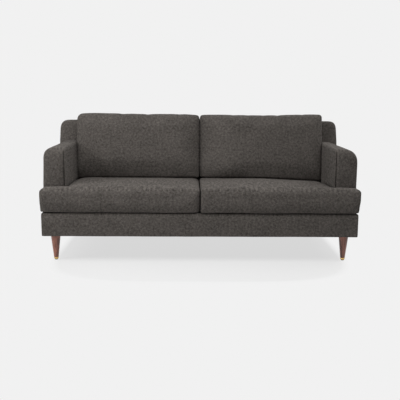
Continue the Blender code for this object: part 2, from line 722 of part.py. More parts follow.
def build_seat_cushion(side_name, side):
    origin = (side * ARM_INNER_X / 2, FRONT_Y, BASE_TOP)
    handle = add_empty(f"seat_cushion_{side_name}", origin)
    name = f"seat_cushion_cover_{side_name}"
    cover = place(name, handed_mesh(name, seat_cage(), side, origin), (0, 0, 0), CLOTH, handle)
    subdivide(cover)
    name = f"seat_cushion_foam_{side_name}"
    foam = place(name, handed_mesh(name, seat_core(0.0), side, origin), (0, 0, 0), FOAM, handle)
    soften(foam, FOAM_EDGE)
    name = f"seat_foam_room_{side_name}"
    room = place_cutter(name, handed_mesh(name, seat_core(GAP), side, origin), (0, 0, 0), handle)
    soften(room, FOAM_EDGE)
    cut(cover, room)
    rear = SEAT_DEPTH - SEAT_SIDE_CLEARANCE
    middle = SEAT_THICKNESS / 2
    zip_slot = add_box_cutter(
        f"seat_zip_{side_name}",
        (-ZIP_LENGTH / 2, rear - 2 * SEAT_WRAP, middle - ZIP_WIDTH / 2),
        (ZIP_LENGTH / 2, rear + SEAT_WRAP, middle + ZIP_WIDTH / 2),
        handle,
    )
    cut(cover, zip_slot)
    return cover


def highest_behind(obj, y):
    """The highest point of a finished form behind a plane."""
    bpy.context.view_layer.update()
    finished = obj.evaluated_get(bpy.context.evaluated_depsgraph_get())
    mesh = finished.to_mesh()
    points = [finished.matrix_world @ vert.co for vert in mesh.vertices]
    finished.to_mesh_clear()
    return max(point.z for point in points if point.y > y)


def rake_height(y, level):
    """How far up the rake a point square to the back by y reaches a level above the floor."""
    return (level - BASE_TOP + y * math.sin(BACK_RAKE)) / math.cos(BACK_RAKE)


def back_cushion_limits(seat_top, shrink):
    """The back cushion's sides in the raked frame, and the levels of its foot and its head."""
    return {
        "inner": BACK_CUSHION_GAP / 2 + shrink,
        "outer": ARM_INNER_X - SEAT_SIDE_CLEARANCE - shrink,
        "front": -BACK_CUSHION_THICKNESS + shrink,
        "rear": -2 * GAP - shrink,
        "foot": seat_top + GAP + shrink,
        "head": BASE_TOP + BACK_CUSHION_TOP - shrink,
    }


def back_block(limits):
    """A block on the rake whose foot lies level on the seat."""
    foot = rake_height(limits["front"], limits["foot"])
    head = rake_height(limits["front"], limits["head"])
    return block((limits["inner"], limits["front"], foot), (limits["outer"], limits["rear"], head))


def level_foot(shape, limits):
    front = limits["front"]
    low = rake_height(front, limits["foot"])
    high = rake_height(front, limits["head"])
    for vert in shape.verts:
        up = (vert.co.z - low) / (high - low)
        vert.co.z += (1 - up) * (rake_height(vert.co.y, limits["foot"]) - low)


def back_cushion_cage(limits):
    inner, outer = limits["inner"], limits["outer"]
    front, rear = limits["front"], limits["rear"]
    low = rake_height(front, limits["foot"])
    high = rake_height(front, limits["head"])
    edge = BACK_CUSHION_SOFT_EDGE
    wide = (outer - inner - 2 * edge) / 3
    tall = (high - low - 2 * edge) / 3
    shape = back_block(limits)
    cut_grid(shape, 0, [inner + edge, inner + edge + wide, outer - edge - wide, outer - edge])
    cut_grid(shape, 1, [(front + rear) / 2])
    cut_grid(shape, 2, [low + edge, low + edge + tall, high - edge - tall, high - edge])
    for vert in shape.verts:
        x, y, z = vert.co
        across = math.sin(math.pi * min(1.0, max(0.0, (x - inner) / (outer - inner))))
        upward = math.sin(math.pi * min(1.0, max(0.0, (z - low) / (high - low))))
        if near(z, high):
            vert.co.z -= BACK_CUSHION_SAG * across
        if near(y, front):
            vert.co.y -= BACK_CUSHION_CROWN * math.sqrt(across * upward)
            if near(x, inner):
                vert.co.x += BACK_CUSHION_EDGE_INSET
            if near(x, outer):
                vert.co.x -= BACK_CUSHION_EDGE_INSET
            if near(z, high):
                vert.co.z -= BACK_CUSHION_EDGE_INSET
    level_foot(shape, limits)
    return shape


def back_core(limits):
    shape = back_block(limits)
    level_foot(shape, limits)
    return shape


def build_back_cushion(side_name, side, seat_top):
    origin = (side * ARM_INNER_X / 2, 0, 0)
    handle = add_empty(f"back_cushion_{side_name}", origin, BACK_FRAME)
    name = f"back_cushion_cover_{side_name}"
    cage = back_cushion_cage(back_cushion_limits(seat_top, 0.0))
    cover = place(name, handed_mesh(name, cage, side, origin), (0, 0, 0), CLOTH, handle)
    subdivide(cover)
    name = f"back_cushion_fill_{side_name}"
    core = back_core(back_cushion_limits(seat_top, BACK_CUSHION_WRAP))
    fill = place(name, handed_mesh(name, core, side, origin), (0, 0, 0), FIBRE, handle)
    soften(fill, FOAM_EDGE)
    name = f"back_fill_room_{side_name}"
    core = back_core(back_cushion_limits(seat_top, BACK_CUSHION_WRAP - GAP))
    room = place_cutter(name, handed_mesh(name, core, side, origin), (0, 0, 0), handle)
    soften(room, FOAM_EDGE)
    cut(cover, room)
    middle = -BACK_CUSHION_THICKNESS / 2
    foot = rake_height(middle, seat_top)
    zip_slot = add_box_cutter(
        f"back_zip_{side_name}",
        (-ZIP_LENGTH / 2, middle - ZIP_WIDTH / 2, foot - BACK_CUSHION_WRAP),
        (ZIP_LENGTH / 2, middle + ZIP_WIDTH / 2, foot + 2 * BACK_CUSHION_WRAP),
        handle,
    )
    cut(cover, zip_slot)


def build_cushions():
    for side_name, side in SIDES.items():
        seat = build_seat_cushion(side_name, side)
        foot_front = BACK_Y - BACK_CUSHION_THICKNESS + BACK_CUSHION_SOFT_EDGE / 2
        build_back_cushion(side_name, side, highest_behind(seat, foot_front))


build_legs_and_blocks()
build_base_frame()
build_springs()
build_base_covers()
for arm_name, arm_side in SIDES.items():
    build_arm(arm_name, arm_side)
build_back()
build_cushions()
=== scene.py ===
# Two-seater sofa: cloth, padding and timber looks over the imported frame
# Metres, +Z up, the front faces -Y, left and right are the viewer's
import bmesh
import bpy
import json
import math
from mathutils import Matrix, Vector, kdtree, noise


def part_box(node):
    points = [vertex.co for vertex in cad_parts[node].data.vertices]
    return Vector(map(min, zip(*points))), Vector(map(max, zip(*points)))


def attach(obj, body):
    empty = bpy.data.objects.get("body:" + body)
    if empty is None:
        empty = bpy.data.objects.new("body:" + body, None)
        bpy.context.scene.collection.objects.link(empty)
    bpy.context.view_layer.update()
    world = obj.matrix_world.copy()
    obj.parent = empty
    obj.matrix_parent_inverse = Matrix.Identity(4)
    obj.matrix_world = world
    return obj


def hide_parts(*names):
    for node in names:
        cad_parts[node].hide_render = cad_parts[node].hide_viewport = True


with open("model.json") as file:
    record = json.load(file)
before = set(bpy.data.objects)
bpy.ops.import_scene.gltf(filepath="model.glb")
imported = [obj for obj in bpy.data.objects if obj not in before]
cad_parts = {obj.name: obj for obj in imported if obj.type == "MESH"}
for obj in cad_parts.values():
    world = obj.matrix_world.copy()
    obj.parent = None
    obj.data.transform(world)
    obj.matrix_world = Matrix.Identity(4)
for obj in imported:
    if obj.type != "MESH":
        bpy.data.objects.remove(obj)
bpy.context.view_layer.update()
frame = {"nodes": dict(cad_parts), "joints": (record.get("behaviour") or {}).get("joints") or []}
nodes = frame["nodes"]
scene = bpy.context.scene
scene.view_settings.view_transform = "Standard"
sides = {"left": -1, "right": 1}
print("frame loaded:", len(nodes), "nodes")


def sided(left, right):
    return {"left": left, "right": right}


def forSide(table, sideName):
    # a piece's values for one side, picked where the two sides differ
    picked = {}
    for key, value in table.items():
        picked[key] = value[sideName] if isinstance(value, dict) and sideName in value else value
    return picked


# Camera

viewpoint = {
    "place": (-0.0704, -4.3683, 1.0860),
    "pitch": 9.877,  # degrees down
    "yaw": 0.968,  # degrees towards the sofa's right
    "roll": 0.425,
    "lens": 58.61,
    "sensor": 36.0,
}


def addCamera(v):
    data = bpy.data.cameras.new("camera")
    data.lens = v["lens"]
    data.sensor_width = v["sensor"]
    camera = bpy.data.objects.new("camera", data)
    scene.collection.objects.link(camera)
    turn = Matrix.Rotation(math.radians(-v["yaw"]), 4, "Z")
    tilt = Matrix.Rotation(math.radians(90 - v["pitch"]), 4, "X")
    roll = Matrix.Rotation(math.radians(v["roll"]), 4, "Z")
    camera.matrix_world = Matrix.Translation(v["place"]) @ turn @ tilt @ roll
    scene.camera = camera


addCamera(viewpoint)
print("camera set")


# Material helpers

def startMaterial(name):
    material = bpy.data.materials.new(name)
    material.use_nodes = True
    return material, material.node_tree, material.node_tree.nodes["Principled BSDF"]


def makeMaterial(name, recipe, values):
    material, tree, shader = startMaterial(name)
    recipe(tree, shader, values)
    return material


def setInputs(node, values):
    for name, value in values.items():
        node.inputs[name].default_value = value


def wire(tree, socket, value):
    if hasattr(value, "is_output"):
        tree.links.new(value, socket)
    elif value is not None:
        socket.default_value = value


def calc(tree, operation, first, second=None):
    node = tree.nodes.new("ShaderNodeMath")
    node.operation = operation
    wire(tree, node.inputs[0], first)
    wire(tree, node.inputs[1], second)
    return node.outputs[0]


def centred(tree, tone, amount):
    return calc(tree, "MULTIPLY", calc(tree, "SUBTRACT", tone, 0.5), amount)


def objectSpace(tree):
    return tree.nodes.new("ShaderNodeTexCoord").outputs["Object"]


def uvSpace(tree, name):
    node = tree.nodes.new("ShaderNodeUVMap")
    node.uv_map = name
    return node.outputs["UV"]


def stretched(tree, source, scale):
    node = tree.nodes.new("ShaderNodeMapping")
    node.inputs["Scale"].default_value = scale
    wire(tree, node.inputs["Vector"], source)
    return node.outputs[0]


def splitAxes(tree, source):
    node = tree.nodes.new("ShaderNodeSeparateXYZ")
    wire(tree, node.inputs[0], source)
    return node.outputs


def clouds(tree, source, scale, detail=2.0, rough=0.5, twist=0.0):
    node = tree.nodes.new("ShaderNodeTexNoise")
    setInputs(node, {"Scale": scale, "Detail": detail, "Roughness": rough, "Distortion": twist})
    wire(tree, node.inputs["Vector"], source)
    return node.outputs["Fac"]


def tint(tree, shader, factor, stops):
    node = tree.nodes.new("ShaderNodeValToRGB")
    while len(node.color_ramp.elements) < len(stops):
        node.color_ramp.elements.new(0.5)
    for element, (place, colour) in zip(node.color_ramp.elements, stops):
        element.position = place
        element.color = (*colour, 1.0)
    wire(tree, node.inputs["Fac"], factor)
    tree.links.new(node.outputs["Color"], shader.inputs["Base Color"])


def raised(tree, shader, height, distance, strength):
    node = tree.nodes.new("ShaderNodeBump")
    setInputs(node, {"Distance": distance, "Strength": strength})
    wire(tree, node.inputs["Height"], height)
    tree.links.new(node.outputs["Normal"], shader.inputs["Normal"])


# Cloth: a plain weave of uneven yarns, on the panels' own grain

charcoal = {
    "yarn": 0.0024,  # pitch of the weave
    "wander": 0.0014,  # how far a yarn strays from its line
    "dark": (0.040, 0.0356, 0.0320),
    "light": (0.172, 0.1546, 0.1404),
    "weaveShare": 0.20,
    "pebble": 68,  # curls of the yarn, per metre
    "pebbleShare": 1.50,
    "fleckShare": 0.55,
    "blotchShare": 0.35,
    "sheen": 0.04,
    "bump": 0.0006,
}
lining = {
    "yarn": 0.0016,
    "wander": 0.0004,
    "dark": (0.008, 0.008, 0.009),
    "light": (0.026, 0.026, 0.028),
    "weaveShare": 0.30,
    "pebble": 120,
    "pebbleShare": 0.25,
    "fleckShare": 0.25,
    "blotchShare": 0.25,
    "sheen": 0.0,
    "bump": 0.0003,
}
weaving = {
    "plain": 0.42,  # where a cloth's plain tone lies, from its dark to its light
    "stray": 90,  # clouds per metre that lead the yarns astray,
    "fleck": 120,  # that make the flecks
    "blotch": 9,  # and the blotches
}


def clothNodes(tree, shader, c):
    place = objectSpace(tree)
    stray = centred(tree, clouds(tree, place, weaving["stray"], 1.0), c["wander"] * 4)
    grain = splitAxes(tree, uvSpace(tree, "weave"))
    waves = []
    for axis in ("X", "Y"):
        along = calc(tree, "ADD", grain[axis], stray)
        waves.append(calc(tree, "SINE", calc(tree, "MULTIPLY", along, math.tau / (2 * c["yarn"]))))
    weave = calc(tree, "MULTIPLY", *waves)
    # painted shade: the curls' contrast is raised on sides and tops, in place of the yarn relief's own
    # shadow
    gain = tree.nodes.new("ShaderNodeAttribute")
    gain.attribute_name = "paintedReliefShadeGain"
    pebble = clouds(tree, uvSpace(tree, "nap"), c["pebble"], 2.0, 0.75)
    fleck = clouds(tree, place, weaving["fleck"], 2.0, 0.7)
    blotch = clouds(tree, place, weaving["blotch"], 2.0, 0.5)
    curls = calc(tree, "MULTIPLY", centred(tree, pebble, c["pebbleShare"]), gain.outputs["Fac"])
    total = calc(tree, "ADD", calc(tree, "MULTIPLY", weave, c["weaveShare"]), curls)
    total = calc(tree, "ADD", total, centred(tree, fleck, c["fleckShare"]))
    total = calc(tree, "ADD", total, centred(tree, blotch, c["blotchShare"]))
    total = calc(tree, "ADD", total, weaving["plain"])
    tint(tree, shader, total, [(0.0, c["dark"]), (1.0, c["light"])])
    relief = calc(tree, "ADD", calc(tree, "MULTIPLY", weave, 0.5), calc(tree, "ADD", pebble, fleck))
    raised(tree, shader, relief, c["bump"], 0.8)
    setInputs(shader, {
        "Roughness": 0.96, "Specular IOR Level": 0.15, "Sheen Weight": c["sheen"],
        "Sheen Roughness": 0.45, "Sheen Tint": (1.0, 0.95, 0.90, 1.0),
    })


# Timber: grain along Z on legs, along the board's length elsewhere

walnut = {
    "dark": (0.085, 0.028, 0.017),
    "mid": (0.270, 0.092, 0.056),
    "light": (0.470, 0.180, 0.115),
    "rough": 0.34,
    "coat": 0.30,
    "along": (1.0, 1.0, 0.045),
    "scale": 75,
}
pine = {
    "dark": (0.36, 0.22, 0.105),
    "mid": (0.52, 0.35, 0.19),
    "light": (0.64, 0.47, 0.28),
    "rough": 0.70,
    "coat": 0.0,
    "along": (0.06, 0.6, 1.0),
    "scale": 55,
}


def timberNodes(tree, shader, t):
    place = stretched(tree, objectSpace(tree), t["along"])
    rings = clouds(tree, place, t["scale"], 3.0, 0.55, 0.9)
    pores = clouds(tree, place, t["scale"] * 7, 2.0, 0.7)
    tone = calc(tree, "ADD", rings, centred(tree, pores, 0.35))
    tint(tree, shader, tone, [(0.34, t["dark"]), (0.50, t["mid"]), (0.66, t["light"])])
    raised(tree, shader, pores, 0.0003, 0.35)
    setInputs(shader, {"Roughness": t["rough"], "Coat Weight": t["coat"], "Coat Roughness": 0.25})


# Metal, plastic, foam, fibre and webbing

brass = {"dull": (0.56, 0.36, 0.12), "bright": (0.80, 0.57, 0.24), "rough": 0.28}
steel = {"dull": (0.30, 0.30, 0.31), "bright": (0.52, 0.52, 0.54), "rough": 0.38}
plastic = {
    "dark": (0.010, 0.010, 0.010), "light": (0.024, 0.024, 0.025),
    "scale": 700, "rough": 0.55, "depth": 0.0002,
}
foam = {
    "dark": (0.62, 0.55, 0.37), "light": (0.78, 0.72, 0.54),
    "scale": 900, "rough": 0.92, "depth": 0.0008,
}
fibre = {
    "dark": (0.70, 0.69, 0.66), "light": (0.86, 0.85, 0.82),
    "scale": 260, "rough": 0.95, "depth": 0.0015,
}
jute = {"dark": (0.17, 0.125, 0.078), "light": (0.40, 0.32, 0.22), "rib": 0.004, "rough": 0.9}


def metalNodes(tree, shader, m):
    place = objectSpace(tree)
    tint(tree, shader, clouds(tree, place, 160, 3.0, 0.6), [(0.3, m["dull"]), (0.7, m["bright"])])
    raised(tree, shader, clouds(tree, stretched(tree, place, (40, 40, 2600)), 1.0, 1.0), 0.0001, 0.25)
    setInputs(shader, {"Metallic": 1.0, "Roughness": m["rough"]})


def grainyNodes(tree, shader, g):
    cells = clouds(tree, objectSpace(tree), g["scale"], 3.0, 0.65)
    tint(tree, shader, cells, [(0.32, g["dark"]), (0.68, g["light"])])
    raised(tree, shader, cells, g["depth"], 0.6)
    setInputs(shader, {"Roughness": g["rough"]})


def webbingNodes(tree, shader, w):
    place = objectSpace(tree)
    ribs = calc(tree, "SINE", calc(tree, "MULTIPLY", splitAxes(tree, place)["X"], math.tau / w["rib"]))
    tone = calc(tree, "ADD", calc(tree, "MULTIPLY", ribs, 0.18), clouds(tree, place, 420, 2.0, 0.7))
    tint(tree, shader, tone, [(0.3, w["dark"]), (0.75, w["light"])])
    raised(tree, shader, tone, 0.0005, 0.6)
    setInputs(shader, {"Roughness": w["rough"]})


recipes = {
    "charcoal_cloth": (clothNodes, charcoal),
    "black_lining": (clothNodes, lining),
    "leg_timber": (timberNodes, walnut),
    "frame_timber": (timberNodes, pine),
    "brass": (metalNodes, brass),
    "spring_steel": (metalNodes, steel),
    "glide_plastic": (grainyNodes, plastic),
    "cushion_foam": (grainyNodes, foam),
    "cushion_fibre": (grainyNodes, fibre),
    "webbing": (webbingNodes, jute),
}
finishes = {name: makeMaterial(name, *recipe) for name, recipe in recipes.items()}
print("materials made:", len(finishes))


# Mesh helpers

edgeShares = (0.12, 0.32, 0.62, 1.0)  # rows in a rounded edge, as shares of its width
onLine = 0.0003  # how near a point counts as lying on a seam


def share(value, low, high):
    return min(1.0, max(0.0, (value - low) / (high - low)))


def arch(value, low, high, power=1.0):
    return math.sin(math.pi * share(value, low, high)) ** power


def blendPair(part, first, second):
    return tuple(part * a + (1 - part) * b for a, b in zip(first, second))


def spread(low, high, lowEdge, highEdge, step):
    start = low + lowEdge
    end = high - highEdge
    count = max(1, round((end - start) / step))
    marks = [low + lowEdge * part for part in edgeShares]
    marks += [high - highEdge * part for part in edgeShares]
    marks += [start + (end - start) * index / count for index in range(1, count)]
    return sorted(marks)


def cutAt(bm, axis, levels):
    normal = Vector((0, 0, 0))
    normal[axis] = 1
    for level in levels:
        geometry = bm.verts[:] + bm.edges[:] + bm.faces[:]
        bmesh.ops.bisect_plane(bm, geom=geometry, dist=0.00005, plane_co=normal * level, plane_no=normal)


def cutGrid(bm, low, high, edges, step):
    # edges: on each axis, the widths of the rounded edges at its two ends
    for axis in range(3):
        cutAt(bm, axis, spread(low[axis], high[axis], *edges[axis], step))


def startBlock(low, high):
    bm = bmesh.new()
    bmesh.ops.create_cube(bm, size=1.0)
    bmesh.ops.scale(bm, vec=[b - a for a, b in zip(low, high)], verts=bm.verts)
    bmesh.ops.translate(bm, vec=[(a + b) / 2 for a, b in zip(low, high)], verts=bm.verts)
    return bm


sideNap = 0.50  # on sides the curls lie brushed towards the front
topNap = 0.32  # and on tops still more
paintedReliefShadeGain = (1.45, 1.0, 1.45)  # how strongly the curls show on sides, fronts and tops; the extra on sides and tops is painted shade, standing in for the yarn relief's own shadow seen at a slant
panelNumbers = {"-x": 0, "+x": 1, "-y": 2, "+y": 3, "-z": 4, "+z": 5}


def markPanels(bm):
    # each flat side is a cut panel, with its grain along its own edges; the front's runs on from the top's
    panel = bm.faces.layers.int.new("panel")
    weave = bm.loops.layers.uv.new("weave")
    nap = bm.loops.layers.uv.new("nap")
    # painted shade: per panel, how much more strongly the curls show on sides and tops
    gain = bm.faces.layers.float.new("paintedReliefShadeGain")
    front = min(vert.co.y for vert in bm.verts)
    top = max(vert.co.z for vert in bm.verts)
    bm.normal_update()
    for face in bm.faces:
        axis = max(range(3), key=lambda i: abs(face.normal[i]))
        face[panel] = 2 * axis + (1 if face.normal[axis] > 0 else 0)
        face[gain] = paintedReliefShadeGain[axis]
        across, up = ((1, 2), (0, 2), (0, 1))[axis]
        for loop in face.loops:
            u, v = loop.vert.co[across], loop.vert.co[up]
            brushed = (sideNap * u, v) if axis == 0 else (u, topNap * v)
            loop[weave].uv = (u, v + front - top) if axis == 1 else (u, v)
            loop[nap].uv = (u, v + topNap * front - top) if axis == 1 else brushed


def seamVerts(bm, pairs):
    panel = bm.faces.layers.int["panel"]
    sewn = {frozenset(panelNumbers[name] for name in pair.split()) for pair in pairs}
    found = set()
    for edge in bm.edges:
        if len(edge.link_faces) == 2:
            meeting = frozenset(face[panel] for face in edge.link_faces)
            if meeting in sewn:
                found.update(edge.verts)
    bm.verts.index_update()
    return sorted(found, key=lambda vert: vert.index)


def creaseSeam(bm, sewn):
    sharp = bm.edges.layers.float.new("crease_edge")
    line = set(sewn)
    for edge in bm.edges:
        if edge.verts[0] in line and edge.verts[1] in line:
            edge[sharp] = 1.0


def roundRect(u, v, low, high, radii):
    # squares near a corner become rounds; gives the point, its depth inside the outline and the way out
    wayU = 1 if u > (low[0] + high[0]) / 2 else -1
    wayV = 1 if v > (low[1] + high[1]) / 2 else -1
    radius = radii[(wayU, wayV)]
    coreU = high[0] - radius if wayU > 0 else low[0] + radius
    coreV = high[1] - radius if wayV > 0 else low[1] + radius
    du = (u - coreU) * wayU
    dv = (v - coreV) * wayV
    if du > 0 and dv > 0:
        reach = max(du, dv)
        shrink = reach / math.hypot(du, dv)
        du *= shrink
        dv *= shrink
        return coreU + wayU * du, coreV + wayV * dv, radius - reach, wayU * du / reach, wayV * dv / reach
    gapU = min(u - low[0], high[0] - u)
    gapV = min(v - low[1], high[1] - v)
    if gapU < gapV:
        return u, v, gapU, wayU, 0
    return u, v, gapV, 0, wayV


def boxOutline(low, high, radii):
    return lambda u, v: roundRect(u, v, low, high, radii)


def sameCorners(radius):
    return {(a, b): radius for a in (-1, 1) for b in (-1, 1)}


def uprightCorners(foot, lowSide, highSide):
    return {(-1, -1): foot, (1, -1): foot, (-1, 1): lowSide, (1, 1): highSide}


def sameEdge(size):
    return lambda end, u, v, wayU, wayV: size


def roundEnd(inside, depth, across, along):
    # how far a point near the edge of an end face moves inward and deeper
    if across <= 0 or along <= 0 or inside >= across or depth >= along:
        return 0.0, 0.0
    a = (across - inside) / across
    b = (along - depth) / along
    keep = 1 - max(a, b) / math.hypot(a, b)
    return across * a * keep, along * b * keep


def roundForm(bm, axes, outline, ends, edge):
    # axes: across, up and through; the two ends of the through axis get their rounded edges
    for vert in bm.verts:
        u, v, t = (vert.co[axis] for axis in axes)
        u, v, inside, wayU, wayV = outline(u, v)
        moveIn = 0.0
        moveT = 0.0
        for name, depth, way in (("low", t - ends[0], 1), ("high", ends[1] - t, -1)):
            across, along = edge(name, u, v, wayU, wayV)
            inward, deeper = roundEnd(inside, depth, across, along)
            moveIn += inward
            moveT += way * deeper
        vert.co[axes[0]] = u - wayU * moveIn
        vert.co[axes[1]] = v - wayV * moveIn
        vert.co[axes[2]] = t + moveT


def roundBlock(low, high, edges, step, axes, radii, edge, rows=()):
    # a block in rows, its outline and ends rounded; rows: more cuts across the first axis
    bm = startBlock(low, high)
    cutGrid(bm, low, high, edges, step)
    cutAt(bm, 0, rows)
    markPanels(bm)
    u, v, t = axes
    outline = boxOutline((low[u], low[v]), (high[u], high[v]), radii)
    roundForm(bm, axes, outline, (low[t], high[t]), edge)
    return bm


def relax(bm, verts, rounds):
    for turn in range(rounds):
        bmesh.ops.smooth_vert(bm, verts=verts, factor=0.5, use_axis_x=True, use_axis_y=True, use_axis_z=True)


def ripple(bm, waves, seed, skip=()):
    # slight unevenness of hand-fitted cloth, as pairs of height and size
    bm.normal_update()
    kept = set(skip)
    shift = Vector((seed, seed * 0.7, seed * 1.3))
    for vert in bm.verts:
        if vert not in kept:
            height = sum(amount * noise.noise(vert.co / size + shift) for amount, size in waves)
            vert.co += vert.normal * height


stitching = {"uneven": 0.35, "groups": 45}  # how unevenly a seam is drawn in, and how often per metre


def sew(bm, sewn, depth, width, seed):
    # a seam lies in a narrow valley, drawn tighter at each stitch group
    tree = kdtree.KDTree(len(sewn))
    for index, vert in enumerate(sewn):
        tree.insert(vert.co, index)
    tree.balance()
    bm.normal_update()
    for vert in bm.verts:
        spot, index, away = tree.find(vert.co)
        if away < width:
            pull = 1 + stitching["uneven"] * noise.noise(spot * stitching["groups"] + Vector((seed, 0, 0)))
            vert.co -= vert.normal * (depth * pull * (1 - away / width) ** 2)


def mirrored(bm):
    bmesh.ops.scale(bm, vec=(-1, 1, 1), verts=bm.verts)
    bmesh.ops.reverse_faces(bm, faces=bm.faces)


swelling = {"quality": 6, "mass": 0.35}


def swell(bm, held, c):
    # let the cover blow up a little over its filling, with the sewn and resting rows held
    bm.verts.index_update()
    pins = [vert.index for vert in held]
    mesh = bpy.data.meshes.new("swelling")
    bm.to_mesh(mesh)
    cover = bpy.data.objects.new("swelling", mesh)
    scene.collection.objects.link(cover)
    group = cover.vertex_groups.new(name="held")
    group.add(pins, 1.0, "REPLACE")
    cloth = cover.modifiers.new("cloth", "CLOTH")
    settings = cloth.settings
    settings.quality = swelling["quality"]
    settings.mass = swelling["mass"]
    settings.tension_stiffness = c["stiff"]
    settings.compression_stiffness = c["stiff"]
    settings.shear_stiffness = c["stiff"] / 3
    settings.bending_stiffness = c["bend"]
    settings.use_pressure = True
    settings.uniform_pressure_force = c["pressure"]
    settings.vertex_group_mass = "held"
    settings.shrink_min = -c["slack"]
    settings.effector_weights.gravity = 0.0
    cloth.point_cache.frame_start = 1
    cloth.point_cache.frame_end = c["frames"]
    for number in range(1, c["frames"] + 1):
        scene.frame_set(number)
    blown = cover.evaluated_get(bpy.context.evaluated_depsgraph_get())
    far = 0.0
    for vert, moved in zip(bm.verts, blown.data.vertices):
        step = moved.co - vert.co
        far = max(far, step.length)
        if step.length > c["reach"]:
            step *= c["reach"] / step.length
        vert.co += step
    bpy.data.objects.remove(cover, do_unlink=True)
    bpy.data.meshes.remove(mesh)
    scene.frame_set(1)
    print("  swelled by at most", round(far * 1000, 1), "mm")


def finishPiece(name, bm, finish, body, replaced=(), smooth=1, matrix=None):
    if matrix is not None:
        bmesh.ops.transform(bm, matrix=matrix, verts=bm.verts)
    mesh = bpy.data.meshes.new(name)
    bm.to_mesh(mesh)
    bm.free()
    mesh.shade_smooth()
    mesh.materials.append(finishes[finish])
    piece = bpy.data.objects.new(name, mesh)
    scene.collection.objects.link(piece)
    if smooth:
        soft = piece.modifiers.new("soft", "SUBSURF")
        soft.levels = smooth
        soft.render_levels = smooth
    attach(piece, body)
    if replaced:
        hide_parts(*replaced)
    return piece


# Places read from the frame

armLow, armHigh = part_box("arm_cover_right")
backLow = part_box("back_cover")[0]
liftJoint = next(joint for joint in frame["joints"] if joint["name"] == "back_lift_right")
rake = math.atan2(liftJoint["axis"][1], liftJoint["axis"][2])
platform = backLow.z
backPlace = Matrix.Translation((0, backLow.y, platform)) @ Matrix.Rotation(-rake, 4, "X")


def rakedBox(node):
    inward = backPlace.inverted()
    points = [inward @ vert.co for vert in nodes[node].data.vertices]
    low = Vector([min(point[axis] for point in points) for axis in range(3)])
    high = Vector([max(point[axis] for point in points) for axis in range(3)])
    return low, high


def backFaceY(z):
    return backLow.y + (z - platform) * math.tan(rake)


# Zips: tapes, a chain of teeth and a slider with its pull, along X and facing +Z before they are placed

zipper = {
    "length": 0.50,
    "tape": 0.011,  # width of each tape
    "tapeEase": 0.0006,
    "bends": 12,  # in half a tape, so that it follows the cover
    "slit": 0.0030,
    "depth": 0.0060,  # let into the cover
    "proud": 0.0016,
    "pitch": 0.0032,
    "tooth": (0.0019, 0.0046),
    "stagger": 0.0006,
    "toothRise": 0.0010,
    "slider": (0.0110, 0.0085, 0.0042),
    "sliderEase": 0.0012,
    "bail": (0.0077, 0.0022, 0.0030),
    "bailEase": 0.0007,
    "pull": (0.0240, 0.0065, 0.0014),
    "pullEase": 0.0005,
    "pullRise": 0.0010,
    "parked": 0.010,  # from the closed end
}


def addBlock(bm, middle, size, ease=0.0):
    made = bmesh.ops.create_cube(bm, size=1.0)["verts"]
    bmesh.ops.scale(bm, vec=size, verts=made)
    bmesh.ops.translate(bm, vec=middle, verts=made)
    if ease:
        edges = list({edge for vert in made for edge in vert.link_edges})
        bmesh.ops.bevel(bm, geom=edges, offset=ease, affect="EDGES", segments=2, profile=0.5, material=-1)


def makeZip(name, body, place, follow, z):
    half = z["length"] / 2
    middle = (z["proud"] - z["depth"]) / 2
    thick = z["proud"] + z["depth"]
    chain = bmesh.new()
    for side in (-1, 1):
        across = side * (z["slit"] + z["tape"]) / 2
        addBlock(chain, (0, across, middle), (z["length"], z["tape"], thick), z["tapeEase"])
    cutAt(chain, 0, [half * count / z["bends"] for count in range(1 - z["bends"], z["bends"])])
    for count in range(int(z["length"] / z["pitch"])):
        along = (count + 0.5) * z["pitch"] - half
        way = 1 if count % 2 else -1
        addBlock(chain, (along, way * z["stagger"], middle + z["toothRise"]), (*z["tooth"], thick))
    markPanels(chain)
    slide = bmesh.new()
    front = half - z["parked"]
    top = z["proud"] + z["slider"][2]
    addBlock(slide, (front, 0, z["proud"] + z["slider"][2] / 2), z["slider"], z["sliderEase"])
    addBlock(slide, (front, 0, top), z["bail"], z["bailEase"])
    addBlock(slide, (front - z["pull"][0] / 2, 0, top + z["pullRise"]), z["pull"], z["pullEase"])
    for shape, title, finish in ((chain, "zip", "black_lining"), (slide, "zip_slider", "spring_steel")):
        bmesh.ops.transform(shape, matrix=place, verts=shape.verts)
        for vert in shape.verts:
            vert.co.z += follow(abs(vert.co.x))
        finishPiece(f"{name}_{title}", shape, finish, body, (), 0)


# Seat cushions: T-shaped, the top cloth running over the front, boxed at the ends

